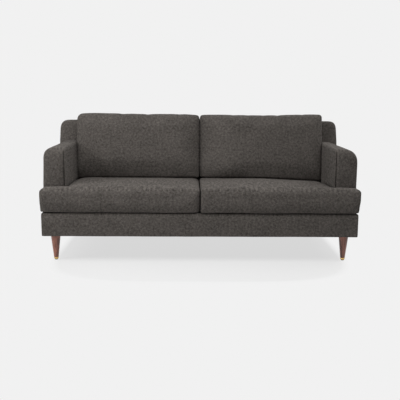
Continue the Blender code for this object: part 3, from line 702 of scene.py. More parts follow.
seatCushion = {
    "armGap": 0.0022,
    "notchGap": 0.0060,
    "crown": 0.0165,
    "crownPower": 0.6,
    "crownEnd": (0.55, 0.90),  # the crown dies out under the back cushion
    "fall": sided(0.0150, 0.0125),  # the top sinks towards the back
    "armDrop": sided((0.006, 0.16, 2.0), (0.024, 0.42, 1.0)),  # and beside the arm: depth, width and power
    "frontEdge": (0.038, 0.034),
    "wingEdge": sided((0.022, 0.024), (0.011, 0.013)),
    "armEdge": (0.050, 0.030),
    "armEdgeRear": (0.028, 0.012),
    "armEdgeChange": (-0.02, 0.10),  # where the one passes into the other
    "rearEdge": (0.024, 0.024),
    "footEdge": (0.036, 0.011),
    "meetingEdge": sided((0.026, 0.026), (0.010, 0.012)),
    "meetingCorner": sided(0.046, 0.012),
    "wingCorner": sided(0.034, 0.020),
    "notchCorner": 0.014,
    "notchRows": 0.018,
    "rearCorner": 0.020,
    "undercut": sided(0.023, 0.019),  # the front's foot lies behind its belly
    "undercutHeight": 0.66,
    "undercutPower": 1.6,
    "undercutReach": (0.02, 0.08),
    "wingLean": sided(0.0, 0.005),
    "heldFoot": 0.02,
    "heldSide": 0.004,
    "step": 0.016,
    "seams": ("-x +z", "+x +z", "+y +z", "-x -y", "+x -y", "-x -z", "+x -z", "-y -z", "+y -z"),
    "seam": (0.0030, 0.010),
    "seamSeed": 1.7,
    "zipHeight": 0.070,
    "waves": ((0.0022, 0.24), (0.0007, 0.07)),
    "waveSeed": 3.1,
    "cloth": {"pressure": 3.0, "stiff": 12, "bend": 0.6, "slack": 0.004, "frames": 16, "reach": 0.005},
    "fill": 0.85,
}
seatFoam = {
    "inset": 0.020,
    "edge": (0.012, 0.012),
    "corner": 0.016,
    "step": 0.060,
    "waves": ((0.0012, 0.20),),
    "waveSeed": 5.4,
    "fill": 1.0,
}


def seatPlan(sideName, c, inset=0.0):
    low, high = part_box(f"seat_cushion_cover_{sideName}")
    return {
        "inner": min(abs(low.x), abs(high.x)) + inset,
        "outer": armLow.x - c["armGap"] - inset,
        "wing": max(abs(low.x), abs(high.x)) - inset,
        "front": low.y + inset,
        "notch": armLow.y - c["notchGap"] - inset,
        "rear": high.y - inset,
        "bottom": low.z + inset,
        "top": high.z - c["crown"] - inset,
    }


def seatBlock(p, edges, step):
    bm = startBlock((p["inner"], p["front"], p["bottom"]), (p["outer"], p["rear"], p["top"]))
    cutAt(bm, 1, [p["notch"]])
    ends = [face for face in bm.faces if face.normal.x > 0.9 and face.calc_center_median().y < p["notch"]]
    grown = bmesh.ops.extrude_face_region(bm, geom=ends)
    moved = [item for item in grown["geom"] if isinstance(item, bmesh.types.BMVert)]
    bmesh.ops.translate(bm, vec=(p["wing"] - p["outer"], 0, 0), verts=moved)
    bmesh.ops.delete(bm, geom=ends, context="FACES_ONLY")
    for axis, low, high, lowEdge, highEdge in (
        (0, "inner", "outer", "meeting", "arm"),
        (0, "outer", "wing", "notch", "wing"),
        (1, "front", "notch", "front", "notch"),
        (1, "notch", "rear", "notch", "rear"),
        (2, "bottom", "top", "foot", "top"),
    ):
        cutAt(bm, axis, spread(p[low], p[high], edges[lowEdge], edges[highEdge], step))
    markPanels(bm)
    return bm


def roundSeat(bm, p, corners, edge):
    # corners: at the middle, the wing, the notch and the rear, in plan
    middle, wing, notch, rear = corners
    bandRadii = {(-1, -1): middle, (1, -1): wing, (1, 1): notch, (-1, 1): 0}
    mainRadii = {(-1, -1): middle, (1, -1): 0, (1, 1): rear, (-1, 1): rear}
    start = (p["inner"], p["front"])

    def outline(x, y):
        if x > p["outer"]:
            return roundRect(x, y, start, (p["wing"], p["notch"]), bandRadii)
        if y > p["notch"]:
            return roundRect(x, y, start, (p["outer"], p["rear"]), mainRadii)
        x, y, inside, wayX, wayY = roundRect(x, y, start, (p["wing"], p["rear"]), mainRadii)
        away = math.hypot(p["outer"] - x, p["notch"] - y)
        if away < inside:
            slant = Vector((p["outer"] - x + 0.00001, p["notch"] - y + 0.00001)).normalized()
            return x, y, away, slant.x, slant.y
        return x, y, inside, wayX, wayY

    roundForm(bm, (0, 1, 2), outline, (p["bottom"], p["top"]), edge)


def settleSeat(bm, p, c):
    # crown in the middle, lower at the back and beside the arm, the front's foot drawn under its belly
    dropDepth, dropWidth, dropPower = c["armDrop"]
    near, far = c["undercutReach"]
    for vert in bm.verts:
        x, y, z = vert.co
        height = share(z, p["bottom"], p["top"])
        rearward = share(y, p["front"], p["rear"])
        beside = share(x, p["outer"] - dropWidth, p["outer"]) if x < p["outer"] else 0.0
        rise = c["crown"] * arch(x, p["inner"], p["wing"], c["crownPower"])
        rise *= arch(y, p["front"], p["rear"], c["crownPower"])
        rise *= 1 - share(rearward, *c["crownEnd"])
        rise -= c["fall"] * rearward ** 2 + dropDepth * beside ** dropPower * rearward
        vert.co.z += height * rise
        drawn = (1 - share(height, 0.0, c["undercutHeight"])) ** c["undercutPower"]
        vert.co.y += c["undercut"] * drawn * (1 - share(y, p["front"] + near, p["front"] + far))
        vert.co.x -= c["wingLean"] * drawn * share(x, p["wing"] - far, p["wing"] - near)


def makeSeatCushion(sideName, side, c):
    p = seatPlan(sideName, c)
    edges = {
        "meeting": max(c["meetingEdge"][0], c["meetingCorner"]), "arm": c["armEdge"][0],
        "notch": c["notchRows"], "wing": c["wingEdge"][0], "front": c["frontEdge"][0],
        "rear": c["rearEdge"][0], "foot": c["footEdge"][1], "top": c["frontEdge"][1],
    }
    bm = seatBlock(p, edges, c["step"])

    def edge(end, x, y, wayX, wayY):
        if end == "low":
            return c["footEdge"]
        if wayX < 0:
            alongX = c["meetingEdge"]
        elif x > p["outer"]:
            alongX = c["wingEdge"]
        else:
            alongX = blendPair(share(y, *c["armEdgeChange"]), c["armEdgeRear"], c["armEdge"])
        alongY = c["frontEdge"] if wayY < 0 else c["rearEdge"]
        part = wayX * wayX / max(0.0001, wayX * wayX + wayY * wayY)
        return blendPair(part, alongX, alongY)

    roundSeat(bm, p, (c["meetingCorner"], c["wingCorner"], c["notchCorner"], c["rearCorner"]), edge)
    settleSeat(bm, p, c)
    sewn = seamVerts(bm, c["seams"])
    held = set(sewn)
    for vert in bm.verts:
        x, y, z = vert.co
        besideArm = x > p["outer"] - c["heldSide"] and y > p["notch"] - c["heldFoot"]
        resting = z < p["bottom"] + c["heldFoot"] or y > p["rear"] - c["heldFoot"]
        if resting or besideArm or x < p["inner"] + c["heldSide"]:
            held.add(vert)
    if side < 0:
        mirrored(bm)
    swell(bm, held, c["cloth"])
    ripple(bm, c["waves"], c["waveSeed"] + side, sewn)
    sew(bm, sewn, *c["seam"], c["seamSeed"] * side)
    node = f"seat_cushion_cover_{sideName}"
    body = f"seat_cushion_{sideName}"
    piece = finishPiece(f"{body}_cover", bm, "charcoal_cloth", body, (node,))
    spot = Matrix.Translation((side * armLow.x / 2, p["rear"], p["bottom"] + c["zipHeight"]))
    makeZip(body, body, spot @ Matrix.Rotation(math.radians(-90), 4, "X"), lambda x: 0.0, zipper)


def makeSeatFoam(sideName, side, c, f):
    p = seatPlan(sideName, c, f["inset"])
    p["top"] -= c["fall"] + c["armDrop"][0]
    names = ("meeting", "arm", "notch", "wing", "front", "rear", "foot", "top")
    bm = seatBlock(p, dict.fromkeys(names, f["edge"][0]), f["step"])
    roundSeat(bm, p, (f["corner"],) * 4, sameEdge(f["edge"]))
    ripple(bm, f["waves"], f["waveSeed"] + side)
    if side < 0:
        mirrored(bm)
    node = f"seat_cushion_foam_{sideName}"
    body = f"seat_cushion_{sideName}"
    piece = finishPiece(f"{body}_foam", bm, "cushion_foam", body, (node,))


for sideName, side in sides.items():
    cushion = forSide(seatCushion, sideName)
    makeSeatCushion(sideName, side, cushion)
    makeSeatFoam(sideName, side, cushion, seatFoam)
print("seat cushions made")


# Back cushions: boxed, crowned in front, with the foot lying level on the seat

backCushion = {
    "outward": sided(0.0020, 0.0026),
    "overArm": sided(-0.0035, -0.0030),  # the side above the arm
    "overArmRise": 0.15,  # the share of the height over which it comes in
    "overArmPower": 8,
    "innerFall": sided((0.045, 0.13, 1.8), (0.070, 0.24, 1.5)),  # the inner end's turn: depth, width, power
    "outerFall": sided((0.040, 0.43, 2.0), (0.026, 0.43, 2.4)),  # and the outer end's
    "turn": sided((0.75, 1.5), (1.2, 0.8)),  # of the inner turn, the share at the foot and the head
    "footFall": sided(0.046, 0.028),  # depth of the roll at the foot
    "footZone": sided(0.125, 0.092),
    "footShare": sided((0.45, 1.20), (0.25, 1.0)),  # of it, at the inner and the outer end
    "footShareStart": -0.2,  # where the inner end's sets in, from the middle
    "bowPower": 1.5,  # how soon the turns die out towards the rear
    "headFall": sided((0.010, 0.080), (0.005, 0.080)),
    "belly": sided(0.0, 0.036),  # the filling sits low at the inner end
    "bellyPlace": (0.13, 0.09),
    "bellySize": (0.18, 0.11),
    "headroom": 0.003,  # kept for the swelling
    "sag": sided(0.003, 0.009),
    "frontEdge": (0.028, 0.030),
    "frontFootEdge": (0.012, 0.012),
    "rearEdge": (0.020, 0.024),
    "topCorner": sided((0.022, 0.046), (0.022, 0.022)),  # at the middle, at the arm
    "footCorner": 0.018,
    "slope": sided(0.0075, 0.0055),  # the top falls towards the middle
    "rest": 0.007,  # how far the foot sinks with the seat
    "droop": sided((0.010, 0.84, 1.5), (0.022, 0.50, 1.2)),  # and follows it beside the arm
    "footLift": sided(0.0, 0.006),  # and stands higher at the middle of the sofa
    "footGap": 0.0004,
    "held": 0.01,
    "step": 0.016,
    "seams": ("-y +z", "-y -x", "-y +x", "-y -z", "+y +z", "+y -x", "+y +x", "+y -z"),
    "seam": (0.0026, 0.009),
    "seamSeed": 2.9,
    "waves": ((0.0014, 0.22), (0.0008, 0.08)),
    "waveSeed": 6.3,
    "cloth": {"pressure": 3.0, "stiff": 12, "bend": 0.6, "slack": 0.006, "frames": 16, "reach": 0.008},
    "fill": 0.70,
}
backFill = {
    "inset": 0.026,
    "raised": 0.02,  # above the inset, at the foot
    "edge": (0.040, 0.036),
    "corner": 0.045,
    "channels": 3,
    "channelRows": 0.014,
    "seam": (0.009, 0.050),
    "seamSeed": 7.7,
    "step": 0.030,
    "fill": 0.60,
}


def cushionEdges(across, along):
    return ((across, across), (along, along), (across, across))


def bowFront(bm, box, c):
    # the front's turn at each end, the head and the foot
    inner, outer, front, rear, bottom, top = box
    headDepth, headZone = c["headFall"]
    footTurn, headTurn = c["turn"]
    innerDepth, innerWidth, innerPower = c["innerFall"]
    outerDepth, outerWidth, outerPower = c["outerFall"]
    innerFoot, outerFoot = c["footShare"]
    for vert in bm.verts:
        x, y, z = vert.co
        height = share(z, bottom, top)
        fall = innerDepth * (1 - share(x, inner, inner + innerWidth)) ** innerPower
        fall *= footTurn + (headTurn - footTurn) * height
        fall += outerDepth * share(x, outer - outerWidth, outer) ** outerPower
        across = 2 * share(x, inner, outer) - 1
        foot = 1 + (outerFoot - 1) * share(across, 0, 1)
        foot += (innerFoot - 1) * share(-across, c["footShareStart"], 1)
        fall += c["footFall"] * foot * (1 - share(z, bottom, bottom + c["footZone"])) ** 2
        fall += headDepth * share(z, top - headZone, top) ** 2
        offX = (x - inner - c["bellyPlace"][0]) / c["bellySize"][0]
        offZ = (z - bottom - c["bellyPlace"][1]) / c["bellySize"][1]
        fall -= c["belly"] * math.exp(-offX * offX - offZ * offZ)
        vert.co.y += fall * (1 - share(y, front, rear)) ** c["bowPower"]


def makeBackCushion(sideName, side, c):
    node = f"back_cushion_cover_{sideName}"
    low, high = rakedBox(node)
    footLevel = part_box(node)[0].z - c["rest"]
    inner = min(abs(low.x), abs(high.x))
    outer = max(abs(low.x), abs(high.x)) + c["outward"]
    front, rear = low.y, high.y
    bottom, top = low.z - c["rest"], high.z - c["headroom"]
    droopDepth, droopStart, droopPower = c["droop"]

    def edge(end, x, z, wayX, wayZ):
        if end == "high":
            return c["rearEdge"]
        return blendPair(max(0.0, -wayZ), c["frontFootEdge"], c["frontEdge"])

    def droopAt(part):
        return droopDepth * share(part, droopStart, 1.0) ** droopPower

    def footAt(x):  # the foot rests level on the seat, lower beside the arm
        part = share(x, inner, outer)
        return c["footLift"] * (1 - part) - droopAt(part)

    bm = roundBlock((inner, front, bottom), (outer, rear, top), cushionEdges(*c["frontEdge"]), c["step"],
                    (0, 2, 1), uprightCorners(c["footCorner"], *c["topCorner"]), edge)
    bowFront(bm, (inner, outer, front, rear, bottom, top), c)
    armLevel = share(armHigh.z - platform, bottom, top)
    for vert in bm.verts:
        part = share(vert.co.x, inner, outer)
        height = share(vert.co.z, bottom, top)
        fall = c["slope"] * (1 - part) + c["sag"] * arch(vert.co.x, inner, outer)
        vert.co.z -= fall * height ** 3 + droopAt(part) * (1 - height) ** 3
        above = share(height, armLevel, armLevel + c["overArmRise"])
        vert.co.x += c["overArm"] * part ** c["overArmPower"] * above
    sewn = seamVerts(bm, c["seams"])
    held = set(sewn)
    for vert in bm.verts:
        if vert.co.y > rear - c["held"] or vert.co.z < bottom + c["held"]:
            held.add(vert)
    if side < 0:
        mirrored(bm)
    swell(bm, held, c["cloth"])
    ripple(bm, c["waves"], c["waveSeed"] + side, sewn)
    sew(bm, sewn, *c["seam"], c["seamSeed"] * side)
    bmesh.ops.transform(bm, matrix=backPlace, verts=bm.verts)
    for vert in bm.verts:
        vert.co.z = max(vert.co.z, footLevel + footAt(abs(vert.co.x)) + c["footGap"])
    body = f"back_cushion_{sideName}"
    piece = finishPiece(f"{body}_cover", bm, "charcoal_cloth", body, (node,))
    depth = (backPlace @ Vector((0, (front + rear) / 2, bottom))).y
    spot = Matrix.Translation((side * armLow.x / 2, depth, footLevel))
    makeZip(body, body, spot @ Matrix.Rotation(math.radians(180), 4, "X"), footAt, zipper)


def makeBackFill(sideName, side, c, f):
    # a fibre pad stitched in upright channels
    low, high = rakedBox(f"back_cushion_cover_{sideName}")
    inner = min(abs(low.x), abs(high.x)) + f["inset"]
    outer = max(abs(low.x), abs(high.x)) - f["inset"]
    front = low.y + f["inset"]
    rear = high.y - f["inset"] / 2
    bottom = low.z + f["inset"] + f["raised"]
    top = high.z - f["inset"]
    lines = [inner + (outer - inner) * count / f["channels"] for count in range(1, f["channels"])]
    rows = [line + step for line in lines for step in (-f["channelRows"], 0.0, f["channelRows"])]
    bm = roundBlock((inner, front, bottom), (outer, rear, top), cushionEdges(*f["edge"]), f["step"],
                    (0, 2, 1), sameCorners(f["corner"]), sameEdge(f["edge"]), rows)
    bowFront(bm, (inner, outer, front, rear, bottom, top), c)
    sewn = [vert for vert in bm.verts if min(abs(vert.co.x - line) for line in lines) < onLine]
    sew(bm, sewn, *f["seam"], f["seamSeed"] * side)
    if side < 0:
        mirrored(bm)
    node = f"back_cushion_fill_{sideName}"
    body = f"back_cushion_{sideName}"
    piece = finishPiece(f"{body}_fill", bm, "cushion_fibre", body, (node,), 1, backPlace)


for sideName, side in sides.items():
    cushion = forSide(backCushion, sideName)
    makeBackCushion(sideName, side, cushion)
    makeBackFill(sideName, side, cushion, backFill)
print("back cushions made")


# Arms: padded boards; the front pad bends back to a deep seam beside the inner panel's rolled edge

arm = {
    "outerCorner": sided(0.052, 0.078),
    "fuller": sided(-0.0060, 0.0045),  # the outer side's padding, above
    "footFuller": sided(0.0020, 0.0030),  # and at the foot
    "crown": sided(0.004, 0.0015),
    "crownDepth": 0.08,
    "innerCorner": 0.012,
    "puff": 0.0080,  # the inner panel's padding above the seat
    "puffReach": 0.03,
    "puffEnd": (-0.25, 0.12),  # where it thins, towards the back cushion
    "thinned": 0.62,
    "seatRows": (-0.032, -0.026, -0.020),  # where it ends, from the seat's top
    "frontTopEdge": (0.032, 0.036),
    "frontOuterEdge": (0.022, 0.022),
    "padTop": sided((0.016, 0.013), (0.012, 0.012)),  # width and depth of the pad's bend, above
    "padFoot": sided((0.050, 0.028), (0.014, 0.015)),  # and where it meets the seat
    "padReach": 0.09,
    "padHead": 0.03,  # this far below the top the bend is padTop's
    "padEdge": 0.010,
    "padRows": (0.0, 0.003, 0.006, 0.010, 0.016, 0.024, 0.034),
    "seamInset": 0.001,  # of the deep seam, from the arm's inner side
    "lipRows": (0.0015, 0.0030, 0.0045, 0.0060, 0.0075),  # on the inner panel's rolled edge
    "lipShare": 0.45,  # how far back the inner panel's edge lies, as a share of the bend
    "frontRows": (0.002, 0.008),
    "stitch": (0.0060, 0.0045),
    "sink": 0.008,  # rear end pressed into the back
    "dome": 0.004,
    "domePower": 12,
    "eased": (0.03, 0.02, 0.01),  # the smoothed corner: past the seam, from the front, above the foot
    "easeRounds": 3,
    "footRows": 0.02,
    "rearRows": 0.02,
    "step": 0.018,
    "seams": ("-x +z",),
    "seam": (0.0030, 0.010),
    "seamSeed": 4.1,
    "waves": ((0.0012, 0.16), (0.0006, 0.06)),
    "waveSeed": 9.2,
    "fill": 0.9,
}


def shapeArmFront(bm, low, front, seamX, seatLevel, top, c):
    lipMiddle = (low + seamX) / 2
    puffFoot, puffFull = seatLevel + c["seatRows"][0], seatLevel + c["seatRows"][-1]
    for vert in bm.verts:
        x, y, z = vert.co
        width, depth = blendPair(share(z, seatLevel, top - c["padHead"]), c["padTop"], c["padFoot"])
        if x > seamX:
            bend = 1 - math.sqrt(1 - (1 - share(x, seamX, seamX + width)) ** 2)
        else:
            bend = c["lipShare"] + (1 - c["lipShare"]) * ((x - lipMiddle) / (seamX - lipMiddle)) ** 2
        stitch = c["stitch"][0] * max(0.0, 1 - abs(x - seamX) / c["stitch"][1])
        vert.co.y += (depth * bend + stitch) * (1 - share(y, front, front + c["padReach"]))
        sunk = max(1 - share(z, puffFoot, puffFull), c["thinned"] * share(y, *c["puffEnd"]))
        vert.co.x += c["puff"] * sunk * (1 - share(x, low, low + c["puffReach"]))


def makeArm(sideName, side, c):
    low, outer = armLow.x - c["puff"], armHigh.x + c["fuller"]
    seamX = armLow.x + c["seamInset"]
    front, rear = armLow.y, backFaceY(armHigh.z)
    bottom, top = armLow.z, armHigh.z
    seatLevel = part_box("seat_cushion_cover_right")[1].z
    bm = startBlock((low, front, bottom), (outer, rear, top))
    cutAt(bm, 0, [low + step for step in c["lipRows"]])
    cutAt(bm, 0, [seamX + step for step in c["padRows"]])
    cutAt(bm, 0, spread(seamX + c["padRows"][-1], outer, c["padEdge"], c["outerCorner"], c["step"]))
    cutAt(bm, 1, spread(front, rear, c["frontTopEdge"][1], c["rearRows"], c["step"]))
    cutAt(bm, 1, [front + step for step in c["frontRows"]])
    cutAt(bm, 2, spread(bottom, top, c["footRows"], c["frontTopEdge"][0], c["step"]))
    cutAt(bm, 2, [seatLevel + step for step in c["seatRows"]])
    markPanels(bm)

    def edge(end, x, z, wayX, wayZ):
        if end == "high" or wayZ < 0:
            return (0, 0)
        aside = c["frontOuterEdge"] if wayX > 0 else (0, 0)
        return blendPair(wayX * wayX, aside, c["frontTopEdge"])

    foremost = [vert for vert in bm.verts if vert.co.y < front + onLine]
    stitched = [vert for vert in foremost if abs(vert.co.x - seamX) < onLine]
    radii = uprightCorners(0, c["innerCorner"], c["outerCorner"])
    roundForm(bm, (0, 2, 1), boxOutline((low, bottom), (outer, top), radii), (front, rear), edge)
    pastSeam, fromFront, aboveFoot = c["eased"]
    eased = [vert for vert in bm.verts if vert.co.y < front + fromFront and vert.co.z > bottom + aboveFoot]
    relax(bm, [vert for vert in eased if vert.co.x > seamX + pastSeam], c["easeRounds"])
    shapeArmFront(bm, low, front, seamX, seatLevel, top, c)
    for vert in bm.verts:
        x, y, z = vert.co
        reach = share(y, front, rear)
        vert.co.y += reach * (backFaceY(z) + c["sink"] - rear)
        domed = arch(x, seamX, outer) * arch(z, bottom, top, 0.5)
        vert.co.y -= c["dome"] * (1 - reach) ** c["domePower"] * domed
        vert.co.z += c["crown"] * arch(x, low, outer) * share(z, top - c["crownDepth"], top)
        foot = 1 - share(z, seatLevel, top)
        vert.co.x += (c["footFuller"] - c["fuller"]) * foot * share(x, seamX, outer)
    sewn = seamVerts(bm, c["seams"])
    creaseSeam(bm, stitched)
    if side < 0:
        mirrored(bm)
    ripple(bm, c["waves"], c["waveSeed"] + side, sewn + stitched)
    sew(bm, sewn, *c["seam"], c["seamSeed"] * side)
    node = f"arm_cover_{sideName}"
    piece = finishPiece(f"arm_{sideName}_cover", bm, "charcoal_cloth", "sofa_frame", (node,))


for sideName, side in sides.items():
    makeArm(sideName, side, forSide(arm, sideName))
print("arms made")


# Back: a padded board on the rake, narrower towards its top, boxed along its top and ends

back = {
    "topCorner": sided(0.056, 0.046),
    "narrow": sided(0.006, 0.010),  # each end leans in from the arm to the top
    "fuller": sided(0.0045, -0.0025),  # the ends' padding
    "frontEdge": (0.014, 0.014),
    "rearEdge": (0.010, 0.010),
    "footRows": 0.03,
    "step": 0.024,
    "seams": ("-y +z", "-y -x", "-y +x", "+y +z", "+y -x", "+y +x"),
    "seam": (0.0024, 0.009),
    "seamSeed": 5.3,
    "waves": ((0.0012, 0.20), (0.0006, 0.07)),
    "waveSeed": 12.4,
    "fill": 0.9,
}


def makeBack(c):
    low, high = rakedBox("back_cover")
    bottom, top = low.z, high.z
    left, right = c["topCorner"]["left"], c["topCorner"]["right"]
    edges = ((left, right), (c["frontEdge"][1], c["rearEdge"][1]), (c["footRows"], left))

    def edge(end, x, z, wayX, wayZ):
        if wayZ < 0:
            return (0, 0)
        return c["frontEdge"] if end == "low" else c["rearEdge"]

    bm = roundBlock(low, high, edges, c["step"], (0, 2, 1), uprightCorners(0, left, right), edge)
    armLevel = armHigh.z - platform
    for vert in bm.verts:
        end = "left" if vert.co.x < 0 else "right"
        swollen = c["fuller"][end] - c["narrow"][end] * share(vert.co.z, armLevel, top)
        vert.co.x *= 1 + swollen / high.x
    sewn = seamVerts(bm, c["seams"])
    ripple(bm, c["waves"], c["waveSeed"], sewn)
    sew(bm, sewn, *c["seam"], c["seamSeed"])
    for vert in bm.verts:  # the foot is cut level where the back stands on the base
        lowest = (platform - (backPlace @ Vector((0, vert.co.y, 0))).z) / math.cos(rake)
        vert.co.z += (1 - share(vert.co.z, bottom, top)) * (lowest - bottom)
    replaced = ("back_cover",)
    piece = finishPiece("back_cover_padded", bm, "charcoal_cloth", "sofa_frame", replaced, 1, backPlace)


makeBack(back)
print("back made")


# Base: one band of padded cloth round the rails, turned under at its foot

base = {
    "corner": 0.010,
    "topEdge": (0.026, 0.040),  # rolled under the seat, in front and behind
    "topRows": (0.020, 0.030),
    "sideTopEdge": (0.010, 0.007),
    "footEdge": (0.006, 0.006),
    "hem": 0.0042,  # the band's foot hangs below the rails
    "drawn": 0.0025,  # the ends are pulled tight
    "wall": 0.0175,
    "step": 0.024,
    "waves": ((0.0010, 0.20), (0.0005, 0.07)),
    "waveSeed": 15.5,
    "fill": 0.9,
}


def makeBase(c):
    frontLow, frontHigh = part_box("base_cover_front")
    wall = c["wall"]
    low = Vector((frontLow.x + c["drawn"], frontLow.y, frontLow.z - c["hem"]))
    high = Vector((frontHigh.x - c["drawn"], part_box("base_cover_rear")[1].y, frontHigh.z))
    bm = startBlock(low, high)
    cutGrid(bm, low, high, ((wall, wall), (wall, wall), (c["footEdge"][1], c["topEdge"][1])), c["step"])
    cutAt(bm, 2, [high.z - step for step in c["topRows"]])
    markPanels(bm)
    inside = []
    for face in bm.faces:
        middle = face.calc_center_median()
        within = all(low[axis] + wall < middle[axis] < high[axis] - wall for axis in (0, 1))
        if within and abs(face.normal.z) > 0.9:
            inside.append(face)
    bmesh.ops.delete(bm, geom=inside, context="FACES")
    rims = [edge for edge in bm.edges if edge.is_boundary]
    bmesh.ops.bridge_loops(bm, edges=rims)

    def edge(end, x, y, wayX, wayY):
        if end == "low":
            return c["footEdge"]
        return blendPair(wayX * wayX, c["sideTopEdge"], c["topEdge"])

    outline = boxOutline((low.x, low.y), (high.x, high.y), sameCorners(c["corner"]))
    roundForm(bm, (0, 1, 2), outline, (low.z, high.z), edge)
    bmesh.ops.recalc_face_normals(bm, faces=bm.faces)
    ripple(bm, c["waves"], c["waveSeed"])
    covers = [f"base_cover_{name}" for name in ("front", "rear", "left", "right")]
    piece = finishPiece("base_cover_band", bm, "charcoal_cloth", "sofa_frame", covers)


makeBase(base)
print("base made")


# Deck under the cushions: black lining with a border of the sofa's cloth along the front

deck = {"border": 0.13, "edge": (0.006, 0.0035), "step": 0.045, "fill": 0.9}


def makeDeck(c):
    low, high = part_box("deck_cover")
    seamLine = low.y + c["border"]
    across, along = c["edge"]
    for name, finish, front, rear, nodeNames in (
        ("deck_border", "charcoal_cloth", low.y, seamLine, ()),
        ("deck_lining", "black_lining", seamLine, high.y, ("deck_cover",)),
    ):
        edges = ((across, across), (across, across), (along, along))
        bm = roundBlock((low.x, front, low.z), (high.x, rear, high.z), edges, c["step"],
                        (0, 1, 2), sameCorners(across), sameEdge(c["edge"]))
        piece = finishPiece(name, bm, finish, "sofa_frame", nodeNames)


makeDeck(deck)
print("deck made")


# Dust cover: a thin sheet stapled under the rails, sagging a little between them

dust = {"thick": 0.0010, "sag": 0.0030, "sagPower": 0.7, "edge": 0.03, "step": 0.060}


def makeDustCover(c):
    low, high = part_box("dust_cover")
    bm = bmesh.new()
    bmesh.ops.create_grid(bm, x_segments=1, y_segments=1, size=0.5)
    bmesh.ops.scale(bm, vec=(high.x - low.x, high.y - low.y, 1), verts=bm.verts)
    bmesh.ops.translate(bm, vec=(0, (low.y + high.y) / 2, high.z - c["thick"] / 2), verts=bm.verts)
    for axis in (0, 1):
        cutAt(bm, axis, spread(low[axis], high[axis], c["edge"], c["edge"], c["step"]))
    markPanels(bm)
    for vert in bm.verts:
        half = share(abs(vert.co.x), 0, high.x)  # the centre rail holds the middle
        hung = arch(half, 0, 1, c["sagPower"]) * arch(vert.co.y, low.y, high.y, c["sagPower"])
        vert.co.z -= c["sag"] * hung
    piece = finishPiece("dust_cover_sheet", bm, "black_lining", "sofa_frame", ("dust_cover",), 0)
    wall = piece.modifiers.new("wall", "SOLIDIFY")
    wall.thickness = c["thick"]
    wall.offset = 0


makeDustCover(dust)
print("dust cover made")


# Legs: turned timber, brass tip and plastic glide

leg = {
    "steps": 56,
    "rows": 10,
    "topEase": 0.004,
    "joint": 0.0004,  # between timber and brass
    "shoulder": 0.0012,
    "proud": 0.0002,
    "lip": 0.0008,
    "groove": ((0.0002, 0.0030), (0.0006, 0.0036), (0.0003, 0.0042)),  # in the brass: inset and depth
    "taper": 0.0009,
    "glideGap": 0.0002,
    "glideEase": (0.0006, 0.0007, 0.0020),
    "sharp": 35,  # degrees
}


def turned(profile, steps, place):
    bm = bmesh.new()
    points = [bm.verts.new((radius, 0, height)) for radius, height in profile]
    for first, second in zip(points, points[1:]):
        bm.edges.new((first, second))
    bmesh.ops.spin(bm, geom=bm.verts[:] + bm.edges[:], cent=(0, 0, 0), axis=(0, 0, 1), dvec=(0, 0, 0),
                   angle=math.tau, steps=steps, use_merge=True, use_duplicate=False)
    bmesh.ops.remove_doubles(bm, verts=bm.verts, dist=0.00002)
    bmesh.ops.recalc_face_normals(bm, faces=bm.faces)
    bmesh.ops.translate(bm, vec=place, verts=bm.verts)
    return bm


def makeLeg(corner, c):
    low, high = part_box(f"leg_{corner}")
    tipLow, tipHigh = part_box(f"leg_ferrule_{corner}")
    glideLow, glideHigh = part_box(f"leg_glide_{corner}")
    middle = ((low.x + high.x) / 2, (low.y + high.y) / 2, 0)
    wide, tip, slim = ((b.x - a.x) / 2 for a, b in ((low, high), (tipLow, tipHigh), (glideLow, glideHigh)))
    ease, shoulder, lip, rows = c["topEase"], c["shoulder"], c["lip"], c["rows"]
    start = tipHigh.z + c["joint"]
    timber = [(0, high.z), (wide - ease, high.z), (wide - ease * 0.3, high.z - ease * 0.3)]
    for row in range(rows, 0, -1):
        timber.append((tip + (wide - tip) * row / rows, start + (high.z - ease - start) * row / rows))
    timber += [(tip + c["proud"], start + shoulder), (tip - shoulder, start), (0, start)]
    narrow = tip - c["taper"]
    metal = [(0, tipHigh.z), (tip - lip, tipHigh.z), (tip, tipHigh.z - lip)]
    metal += [(tip - inset, tipHigh.z - depth) for inset, depth in c["groove"]]
    metal += [(narrow, tipLow.z + lip), (narrow - lip, tipLow.z), (0, tipLow.z)]
    rim, foot = tipLow.z - c["glideGap"], glideLow.z
    rimEase, small, large = c["glideEase"]
    glide = [(0, rim), (slim - rimEase, rim), (slim, rim - rimEase), (slim, foot + large)]
    glide += [(slim - small, foot + small), (slim - large, foot), (0, foot)]
    for name, profile, finish in (
        (f"leg_{corner}", timber, "leg_timber"),
        (f"leg_ferrule_{corner}", metal, "brass"),
        (f"leg_glide_{corner}", glide, "glide_plastic"),
    ):
        bm = turned(profile, c["steps"], middle)
        piece = finishPiece(f"{name}_turned", bm, finish, "sofa_frame", (name,), 0)
        piece.data.set_sharp_from_angle(angle=math.radians(c["sharp"]))


for corner in ("front_left", "front_right", "rear_left", "rear_right"):
    makeLeg(corner, leg)
print("legs made")


# The rest of the frame keeps its solids, each in its own finish

keptFinish = {
    "rail": "frame_timber", "post": "frame_timber", "panel": "frame_timber", "block": "frame_timber",
    "spring": "spring_steel", "bolt": "spring_steel", "web": "webbing",
}
for name, node in nodes.items():
    if not node.hide_render:
        finish = next(value for key, value in keptFinish.items() if key in name)
        node.data.materials.clear()
        node.data.materials.append(finishes[finish])
print("frame finishes set")


# Floor, backdrop and studio light

